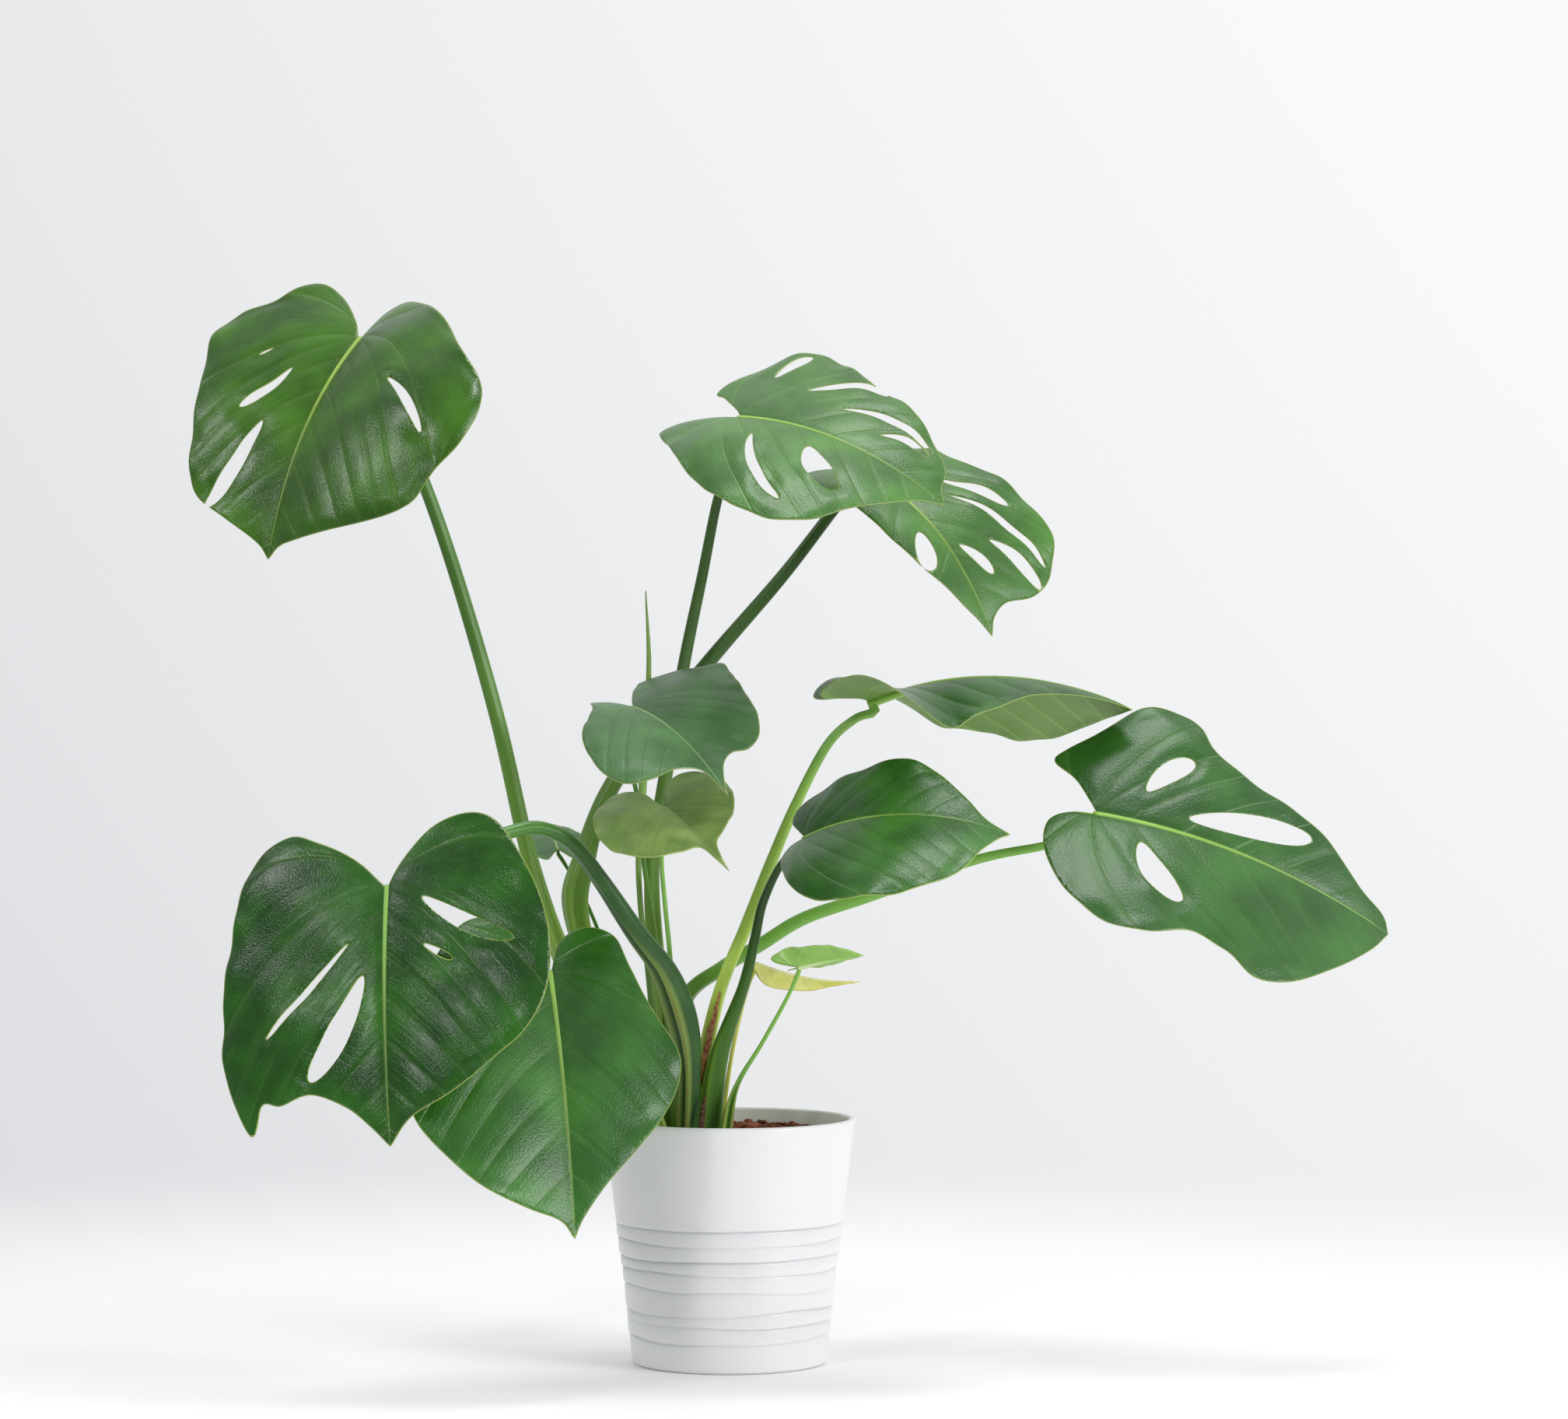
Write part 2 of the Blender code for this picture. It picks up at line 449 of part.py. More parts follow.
def make_stalk(name, route, end, radii, colour):
    """A round stalk of changing thickness along a smooth route to a straight end, closed at both ends."""
    route = [(x, y, SOIL_TOP + SOIL_CLEAR) if z == 0 else (x, y, z) for x, y, z in route]
    line = smooth_line(route, 4)
    lengths = np.concatenate([[0], np.cumsum(np.linalg.norm(np.diff(line, axis=0), axis=1))])
    count = max(4, round(lengths[-1] / STALK_STEP))
    spots = np.linspace(0, lengths[-1], count + 1)
    line = np.column_stack([np.interp(spots, lengths, axis) for axis in line.T])
    sizes = np.interp(spots / lengths[-1], (0, 0.45, 1), radii)
    first = line[1] - line[0]
    line[0, 2] += sizes[0] * math.hypot(first[0], first[1]) / np.linalg.norm(first)
    line, sizes = np.vstack([line, end]), np.append(sizes, radii[-1])
    curve = bpy.data.curves.new(name, "CURVE")
    curve.dimensions = "3D"
    curve.bevel_depth = 1
    curve.bevel_resolution = 2
    curve.use_fill_caps = True
    spline = curve.splines.new("POLY")
    spline.points.add(len(line) - 1)
    for point, place, size in zip(spline.points, line, sizes):
        point.co = (*place, 1)
        point.radius = size
    add(name, curve, colour, 0.45)


def make_leaf(leaf):
    """A blade, and the stalk that comes up under it and ends just short of it."""
    make_blade(leaf)
    up = leaf_axes(leaf)[2]
    end = np.array(leaf.at) - up * (BLADE / 2 + 2 * GAP)
    knee = end - up * leaf.length * KNEE_SHARE
    make_stalk(f"stalk_{leaf.name}", [*leaf.route, knee], end, leaf.radii, leaf.colour)


def main():
    clear_scene()
    make_pot()
    make_soil()
    for number, chip in enumerate(CHIPS, 1):
        make_chip(number, *chip)
    for name, (route, radii, colour) in STEMS.items():
        make_stalk(name, route[:-1], route[-1], radii, colour)
    for leaf in LEAVES:
        make_leaf(leaf)


main()
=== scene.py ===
"""Looks of a potted monstera: holed blades, long sheathed stalks, mix and bark in a ribbed, glazed pot.

Metres, +Z up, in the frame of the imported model: the pot stands on the floor at the origin and the
front is -Y. A blade is worked out flat, in units of its own length: u along the midrib from the stalk
to the tip, v across it, positive on the leaf's left. It then gets its relief and is bent into place.
"""

import logging
import math
import random
from collections.abc import Callable, Sequence
from dataclasses import dataclass, field
from enum import Enum

import bmesh
import bpy
import numpy as np
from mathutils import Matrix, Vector, geometry, kdtree, noise


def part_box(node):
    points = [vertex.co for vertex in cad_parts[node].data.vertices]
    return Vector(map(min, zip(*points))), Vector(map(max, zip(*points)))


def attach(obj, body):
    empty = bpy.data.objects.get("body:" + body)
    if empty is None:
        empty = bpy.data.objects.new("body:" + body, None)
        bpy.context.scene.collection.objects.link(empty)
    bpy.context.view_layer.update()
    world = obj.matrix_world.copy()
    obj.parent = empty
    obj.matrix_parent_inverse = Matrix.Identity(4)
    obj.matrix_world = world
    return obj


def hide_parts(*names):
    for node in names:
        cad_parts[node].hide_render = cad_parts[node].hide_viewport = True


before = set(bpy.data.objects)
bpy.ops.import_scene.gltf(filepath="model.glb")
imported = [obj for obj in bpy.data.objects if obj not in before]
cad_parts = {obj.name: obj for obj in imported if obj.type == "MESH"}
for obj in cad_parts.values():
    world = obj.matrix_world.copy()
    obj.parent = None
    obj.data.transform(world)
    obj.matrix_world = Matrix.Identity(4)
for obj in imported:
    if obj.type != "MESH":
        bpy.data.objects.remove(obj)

LOG = logging.getLogger("monstera")
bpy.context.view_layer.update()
BODY = "root"
SEAM = 0.00002

Colour = tuple[float, float, float]
Point = tuple[float, float, float]
Pair = tuple[float, float]
Piece = bpy.types.Object
Material = bpy.types.Material
Ring = Callable[[int, np.ndarray], np.ndarray]


def tint(red: int, green: int, blue: int) -> Colour:
    """Gives the linear colour of a screen colour.

    Args:
        red: Red, 0 to 255.
        green: Green, 0 to 255.
        blue: Blue, 0 to 255.

    Returns:
        The colour as shaders take it.
    """
    parts = [part / 255 for part in (red, green, blue)]
    return tuple(part / 12.92 if part <= 0.04045 else ((part + 0.055) / 1.055) ** 2.4 for part in parts)


def ease(low: float, high: float, value: np.ndarray) -> np.ndarray:
    """Goes smoothly from 0 at low to 1 at high.

    Args:
        low: Where the step starts.
        high: Where it ends.
        value: The values to turn into steps.

    Returns:
        The steps, each from 0 to 1.
    """
    part = np.clip((np.asarray(value, float) - low) / (high - low), 0, 1)
    return part * part * (3 - 2 * part)


def smooth_line(points: Sequence[Sequence[float]], steps: int) -> np.ndarray:
    """Draws a smooth curve through points.

    Args:
        points: The points, in two or three dimensions.
        steps: How many stretches each gap between two points is cut into.

    Returns:
        The curve's points, one in each row.
    """
    points = np.asarray(points, float)
    padded = np.vstack([2 * points[0] - points[1], points, 2 * points[-1] - points[-2]])
    line = []
    for a, b, c, d in zip(padded, padded[1:], padded[2:], padded[3:]):
        for t in np.arange(steps) / steps:
            square = (2 * a - 5 * b + 4 * c - d) * t**2
            cube = (3 * b - a - 3 * c + d) * t**3
            line.append(0.5 * (2 * b + (c - a) * t + square + cube))
    return np.array(line + [points[-1]])


def even_line(line: np.ndarray, step: float) -> np.ndarray:
    """Spaces a line's points evenly.

    Args:
        line: The line's points, one in each row.
        step: About how far apart they come to lie.

    Returns:
        The evenly spaced points.
    """
    lengths = np.concatenate([[0], np.cumsum(np.linalg.norm(np.diff(line, axis=0), axis=1))])
    spots = np.linspace(0, lengths[-1], max(4, round(lengths[-1] / step)) + 1)
    return np.column_stack([np.interp(spots, lengths, axis) for axis in line.T])


def grown(route: Sequence[Point], depth: float, step: float) -> np.ndarray:
    """Leads a smooth, evenly spaced line out of the mix.

    Args:
        route: The points that it goes through. A height of 0 stands for the start, in the mix.
        depth: How far below the top of the mix it starts, in metres.
        step: About how far apart its points are.

    Returns:
        The line's points, one in each row.
    """
    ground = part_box("soil")[1][2] - depth
    return even_line(smooth_line([(x, y, z or ground) for x, y, z in route], 12), step)


def turned(profile: Sequence[Pair], sides: int) -> bmesh.types.BMesh:
    """Turns a profile round the pot's axis.

    Args:
        profile: The profile's points, as (radius, height).
        sides: How many steps the turn is cut into.

    Returns:
        The turned surface.
    """
    bm = bmesh.new()
    line = [bm.verts.new((radius, 0, height)) for radius, height in profile]
    edges = [bm.edges.new(pair) for pair in zip(line, line[1:])]
    bmesh.ops.spin(
        bm, geom=line + edges, cent=(0, 0, 0), axis=(0, 0, 1), angle=math.tau, steps=sides, use_merge=True
    )
    bmesh.ops.remove_doubles(bm, verts=bm.verts, dist=SEAM)
    return bm


def finished(name: str, data: bpy.types.Mesh, nodes: Sequence[str]) -> Piece:
    """Makes a piece of a mesh, and rides it on the plant in place of its plain solids.

    Args:
        name: The piece's name.
        data: Its mesh, already in place.
        nodes: The nodes that it stands for.

    Returns:
        The piece.
    """
    piece = bpy.data.objects.new(name, data)
    bpy.context.scene.collection.objects.link(piece)
    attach(piece, BODY)
    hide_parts(*nodes)
    return piece


def meshed(bm: bmesh.types.BMesh, name: str) -> bpy.types.Mesh:
    """Turns a bmesh into a smooth-shaded mesh whose faces point out.

    Args:
        bm: The bmesh, which is freed.
        name: The mesh's name.

    Returns:
        The mesh.
    """
    bmesh.ops.recalc_face_normals(bm, faces=bm.faces)
    mesh = bpy.data.meshes.new(name)
    bm.to_mesh(mesh)
    bm.free()
    mesh.shade_smooth()
    return mesh


# Shader building


@dataclass(frozen=True)
class Wire:
    """A shader socket that takes part in Python arithmetic: each operation adds a Math node."""

    shader: "Shader"
    socket: bpy.types.NodeSocket

    def maths(self, operation: str, *others: "Wire | float") -> "Wire":
        """Adds a Math node that has this wire as its first value.

        Args:
            operation: The node's operation.
            others: Its further values.

        Returns:
            The node's result.
        """
        return self.shader.node("Math", dict(enumerate((self, *others))), operation=operation)

    def __add__(self, other: "Wire | float") -> "Wire":
        """Adds."""
        return self.maths("ADD", other)

    __radd__ = __add__

    def __mul__(self, other: "Wire | float") -> "Wire":
        """Multiplies."""
        return self.maths("MULTIPLY", other)

    __rmul__ = __mul__

    def __sub__(self, other: "Wire | float") -> "Wire":
        """Takes the other value away from this one."""
        return self.maths("SUBTRACT", other)

    def __rsub__(self, other: float) -> "Wire":
        """Takes this value away from a number."""
        return self * -1.0 + other

    def __truediv__(self, other: "Wire | float") -> "Wire":
        """Divides."""
        return self.maths("DIVIDE", other)

    def __abs__(self) -> "Wire":
        """Drops the sign."""
        return self.maths("ABSOLUTE")

    def waves(self) -> "Wire":
        """Runs between 0 at every whole number and 0.5 half way between two."""
        return self.maths("PINGPONG", 0.5)

    def step(self, low: float, high: float) -> "Wire":
        """Goes smoothly from 0 at low to 1 at high.

        Args:
            low: Where the step starts.
            high: Where it ends.

        Returns:
            The step.
        """
        return self.shader.node("MapRange", {0: self, 1: low, 2: high}, interpolation_type="SMOOTHSTEP")


class Shader:
    """A material that is built from wires."""

    def __init__(self, name: str) -> None:
        """Starts a material with an empty node tree."""
        self.material = bpy.data.materials.new(name)
        self.material.use_nodes = True
        self.tree = self.material.node_tree
        self.tree.nodes.clear()

    def node(self, kind: str, sockets: dict | None = None, output: int | str = 0, **settings: str) -> Wire:
        """Adds a node.

        Args:
            kind: The node's type, without ShaderNode before it.
            sockets: Values or wires for its inputs, by name or number.
            output: Which output to give back.
            settings: Its settings, which come before its inputs.

        Returns:
            The output.
        """
        node = self.tree.nodes.new(f"ShaderNode{kind}")
        for key, value in settings.items():
            setattr(node, key, value)
        for key, value in (sockets or {}).items():
            if isinstance(value, Wire):
                self.tree.links.new(value.socket, node.inputs[key])
            elif node.inputs[key].type == "RGBA":
                node.inputs[key].default_value = (*value, 1.0)
            else:
                node.inputs[key].default_value = value
        return Wire(self, node.outputs[output])

    def measure(self, name: str) -> Wire:
        """Reads a number that the mesh carries at each point."""
        return self.node("Attribute", output="Fac", attribute_name=name)

    def place(self) -> Wire:
        """Reads the place on the piece."""
        return self.node("TexCoord", output="Object")

    def leaf_place(self) -> tuple[Wire, Wire, Wire]:
        """Reads the place on a flat blade: (u, v) as one, u, and the distance from the midrib."""
        flat = self.node("UVMap", uv_map="leaf")
        along, across = (self.node("SeparateXYZ", {0: flat}, output=axis) for axis in (0, 1))
        return flat, along, abs(across)

    def drawn_out(self, where: Wire, scale: Colour) -> Wire:
        """Scales a place by a different amount along each axis."""
        return self.node("Mapping", {"Vector": where, "Scale": scale})

    def vector(self, x: Wire | float, y: Wire | float) -> Wire:
        """Puts two numbers together as a level vector."""
        return self.node("CombineXYZ", {0: x, 1: y})

    def grain(self, where: Wire, scale: float, detail: float = 3.0) -> Wire:
        """Adds cloudy noise.

        Args:
            where: The place that it is read at.
            scale: How many clouds there are to a unit.
            detail: How many finer layers lie over them.

        Returns:
            Values around 0.5.
        """
        return self.node("TexNoise", {"Vector": where, "Scale": scale, "Detail": detail})

    def blend(self, share: Wire | float, first: Wire | Colour, second: Wire | Colour) -> Wire:
        """Mixes two colours.

        Args:
            share: How much of the second colour there is.
            first: The first colour.
            second: The second colour.

        Returns:
            The mixed colour.
        """
        return self.node("Mix", {0: share, 6: first, 7: second}, output=2, data_type="RGBA")

    def bump(self, height: Wire, distance: float, strength: float = 1.0) -> Wire:
        """Makes a normal from a height in units of distance."""
        sockets = {"Height": height, "Distance": distance, "Strength": strength}
        return self.node("Bump", sockets, output="Normal")

    def skin(self, **sockets: Wire | float | Colour) -> Material:
        """Finishes the material as one surface.

        Args:
            sockets: The surface's inputs, with _ for a space.

        Returns:
            The material.
        """
        named = {key.replace("_", " "): value for key, value in sockets.items()}
        surface = self.node("BsdfPrincipled", named)
        end = self.tree.nodes.new("ShaderNodeOutputMaterial")
        self.tree.links.new(surface.socket, end.inputs["Surface"])
        return self.material


# Finishes


@dataclass(frozen=True)
class BladeFinish:
    """A leaf's waxy top, its duller back and its pale edge.

    The mesh carries vein, which is a whole number on each side vein, and rim, the way in from the
    nearest margin in millimetres, beside its UV map of (u, v). vein_show is how much of the vein colour
    the side veins take, streaks how deep the relief along them is, and pebbles and meshes how many
    bumps on the top and fields of fine veins on the back there are to a leaf length.
    """

    name: str
    light: Colour
    dark: Colour
    vein: Colour
    back: Colour
    edge: Colour
    roughness: float = 0.30
    specular: float = 0.5
    vein_show: float = 0.07
    streaks: float = 0.5
    pebbles: float = 120.0
    meshes: float = 52.0

    def top(self) -> Material:
        """Makes the top face's material."""
        s = Shader(f"{self.name}_top")
        flat, along, away = s.leaf_place()
        vein = s.measure("vein")
        rim = s.measure("rim")
        streak = s.grain(s.vector(vein * 7.0, away * 5.0), 1.0, 4.0)
        hair = s.grain(s.vector(vein * 30.0, away * 9.0), 1.0, 2.0)
        cloud = s.grain(flat, 3.2)
        pebble = s.grain(flat, self.pebbles)
        side = 1 - vein.waves().step(0.0, 0.035)
        halo = 1 - vein.waves().step(0.0, 0.24)
        narrow = along.step(1.0, 0.0) * 0.0045 + 0.0035
        midrib = (1 - (away / narrow).step(0.55, 1.25)) * (along.step(0.95, 0.15) * 0.8 + 0.2)
        beside = 1 - away.step(0.005, 0.09)
        tone = (cloud - 0.5) * 1.7 + (streak - 0.5) * 0.35 + (hair - 0.5) * 0.2 + 0.42
        colour = s.blend(tone.step(0.0, 1.0), self.dark, self.light)
        colour = s.blend((halo * 0.3 + beside * 0.5) * self.vein_show * 0.5, colour, self.vein)
        colour = s.blend(side * self.vein_show, colour, self.vein)
        colour = s.blend(midrib * 0.8, colour, self.vein)
        colour = s.blend((1 - rim.step(0.3, 0.9)) * 0.6, colour, self.edge)
        rough = streak * 0.14 + cloud * 0.12 + (self.roughness - 0.13) + midrib * 0.12
        height = streak * self.streaks + hair * 0.25 * self.streaks
        height = height - side * 0.6 - halo * 0.25 + pebble * 0.7
        return s.skin(
            Base_Color=colour, Roughness=rough, Normal=s.bump(height, 0.0006, 0.75),
            Specular_IOR_Level=self.specular, Coat_Weight=0.06, Coat_Roughness=0.14,
        )

    def under(self) -> Material:
        """Makes the back's material: paler, duller, with veins that stand out."""
        s = Shader(f"{self.name}_back")
        flat, _, away = s.leaf_place()
        cloud = s.grain(flat, 4.0)
        side = 1 - s.measure("vein").waves().step(0.02, 0.10)
        midrib = 1 - away.step(0.006, 0.016)
        net = s.node("TexVoronoi", {"Vector": flat, "Scale": self.meshes}, feature="DISTANCE_TO_EDGE")
        colour = s.blend(cloud * 0.5, self.back, self.light)
        colour = s.blend(side * 0.35 + midrib * 0.5, colour, self.vein)
        height = side * 0.7 + (1 - net.step(0.0, 0.18)) * 0.06
        return s.skin(
            Base_Color=colour, Roughness=cloud * 0.16 + 0.42, Normal=s.bump(height, 0.0005, 0.8),
            Specular_IOR_Level=0.45,
        )

    def margin(self) -> Material:
        """Makes the cut edge's material."""
        s = Shader(f"{self.name}_edge")
        cloud = s.grain(s.place(), 120.0)
        return s.skin(Base_Color=s.blend(cloud * 0.4, self.edge, self.light), Roughness=0.4)


@dataclass(frozen=True)
class StalkFinish:
    """A smooth stalk: paler towards its foot, with brown rims where its sheath dries.

    The mesh carries along, from 0 at the foot to 1 at the blade, and wing, 1 on the sheath's rims.
    """

    name: str
    foot: Colour
    upper: Colour
    wing: Colour
    dry: Colour = tint(150, 84, 58)
    dryness: float = 0.5
    roughness: float = 0.36
    turns: Pair = (0.05, 0.75)

    def material(self) -> Material:
        """Makes the material."""
        s = Shader(f"{self.name}_stalk")
        where = s.place()
        along = s.measure("along")
        wing = s.measure("wing")
        long_grain = s.grain(s.drawn_out(where, (1.0, 1.0, 0.12)), 420.0)
        cloud = s.grain(where, 38.0)
        colour = s.blend(along.step(*self.turns) + cloud * 0.5 - 0.25, self.foot, self.upper)
        colour = s.blend(long_grain * 0.16, colour, self.foot)
        colour = s.blend(wing.step(0.25, 0.9) * 0.55, colour, self.wing)
        colour = s.blend((wing + cloud * 0.5).step(1.05, 1.3) * self.dryness, colour, self.dry)
        speck = s.grain(where, 900.0, 1.0).step(0.66, 0.74)
        colour = s.blend(speck * 0.10, colour, self.wing)
        return s.skin(
            Base_Color=colour, Roughness=cloud * 0.2 + (self.roughness - 0.1),
            Normal=s.bump(long_grain * 0.3 + cloud * 0.4, 0.0002, 0.25), Specular_IOR_Level=0.38,
            Coat_Weight=0.04, Coat_Roughness=0.2,
        )


@dataclass(frozen=True)
class GlazeFinish:
    """A satin white glaze, a little rougher in the grooves, which are greyed with painted shade."""

    white: Colour = tint(228, 228, 229)
    # Painted shade: the grey that the grooves are blended towards.
    painted_groove_shade: Colour = tint(196, 197, 200)

    def material(self) -> Material:
        """Makes the material."""
        s = Shader("pot_glaze")
        where = s.place()
        groove = s.measure("groove")
        cloud = s.grain(where, 22.0, 4.0)
        pores = s.grain(where, 1400.0, 2.0)
        # Painted shade: the deeper a groove is pressed, the more its white is greyed towards the painted
        # shade colour.
        colour = s.blend(groove * 0.55 + (cloud - 0.5) * 0.25, self.white, self.painted_groove_shade)
        return s.skin(
            Base_Color=colour, Roughness=cloud * 0.16 + 0.26 + groove * 0.1,
            Normal=s.bump(cloud + pores * 0.06, 0.0004, 0.5),
            Specular_IOR_Level=0.5, Coat_Weight=0.15, Coat_Roughness=0.22,
        )


@dataclass(frozen=True)
class EarthFinish:
    """Damp mix, bark or another dull brown thing, with a darker and a lighter tone in clumps."""

    name: str
    dark: Colour
    light: Colour
    scale: float = 260.0
    roughness: float = 0.9
    relief: float = 0.0012

    def material(self) -> Material:
        """Makes the material."""
        s = Shader(self.name)
        where = s.place()
        clumps = s.grain(where, self.scale, 6.0)
        fibres = s.grain(s.drawn_out(where, (1.0, 0.3, 2.0)), self.scale * 2, 4.0)
        colour = s.blend(clumps.step(0.38, 0.66), self.dark, self.light)
        return s.skin(
            Base_Color=s.blend(fibres.step(0.5, 0.72) * 0.4, colour, self.light),
            Roughness=clumps * 0.15 + (self.roughness - 0.07),
            Normal=s.bump(clumps + fibres * 0.5, self.relief, 0.9), Specular_IOR_Level=0.3,
        )


@dataclass(frozen=True)
class BackdropFinish:
    """A pale floor that fades out to the light around it."""

    colour: Colour = (0.93, 0.93, 0.935)
    patches: Colour = (0.90, 0.90, 0.905)
    solid: float = 0.55
    faded: float = 1.55

    def material(self) -> Material:
        """Makes the material."""
        s = Shader("pale_floor")
        where = s.place()
        reach = s.node("VectorMath", {0: where}, output="Value", operation="LENGTH")
        tone = s.blend(s.grain(where, 3.0, 2.0) * 0.2, self.colour, self.patches)
        return s.skin(Base_Color=tone, Roughness=0.55, Alpha=1 - reach.step(self.solid, self.faded))


# Leaves


STALK_END = 0.0009
KNEE = 0.042


class Growth(Enum):
    """A leaf's kind of green, from its age and its place in the light."""

    HIGH = "high"
    FULL = "full"
    COOL = "cool"
    DEEP = "deep"
    MIDDLE = "middle"
    GREY = "grey"
    OLIVE = "olive"
    YOUNG = "young"
    FADING = "fading"


@dataclass(frozen=True)
class Leaf:
    """The shape and place of one leaf.

    at is where the stalk meets the blade. heading is the midrib's compass direction there, 0 along +X
    and 90 along +Y; pitch is its rise, roll how far the left side is raised, droop how far the midrib
    turns down by the tip. folds is how far each half rises from the midrib, at the lobes and further
    on; curls is how far the left and the right half turn down, for each leaf length across. All are in
    degrees. left and right are each half's outline from the stalk round the lobe to the tip, as
    (u, distance across); an empty right is like the left. holes have the (u, v) of their two ends, a
    width and a bow. route is the stalk from the mix upwards; radii are its radius at the foot, part way
    and at the blade.
    """

    name: str
    at: Point
    length: float
    heading: float
    pitch: float
    roll: float
    droop: float
    folds: Pair
    curls: Pair
    left: tuple
    right: tuple
    holes: tuple
    route: tuple
    radii: Point
    growth: Growth

    def axes(self) -> tuple[np.ndarray, np.ndarray, np.ndarray]:
        """Gives the midrib's direction at the stalk, the way to the left, and the way up from the face."""
        heading, pitch, roll = np.radians((self.heading, self.pitch, self.roll))
        level = np.array((math.cos(heading), math.sin(heading), 0))
        along = level * math.cos(pitch) + (0, 0, math.sin(pitch))
        up = -level * math.sin(pitch) + (0, 0, math.cos(pitch))
        left = np.cross(up, along)
        raised = left * math.cos(roll) + up * math.sin(roll)
        return along, raised, up * math.cos(roll) - left * math.sin(roll)

    def stalk_route(self) -> tuple:
        """Leads the stalk up to the blade, square to it at the end."""
        up = self.axes()[2]
        end = np.array(self.at) - up * STALK_END
        return (*self.route, tuple(end - up * self.length * KNEE), tuple(end))


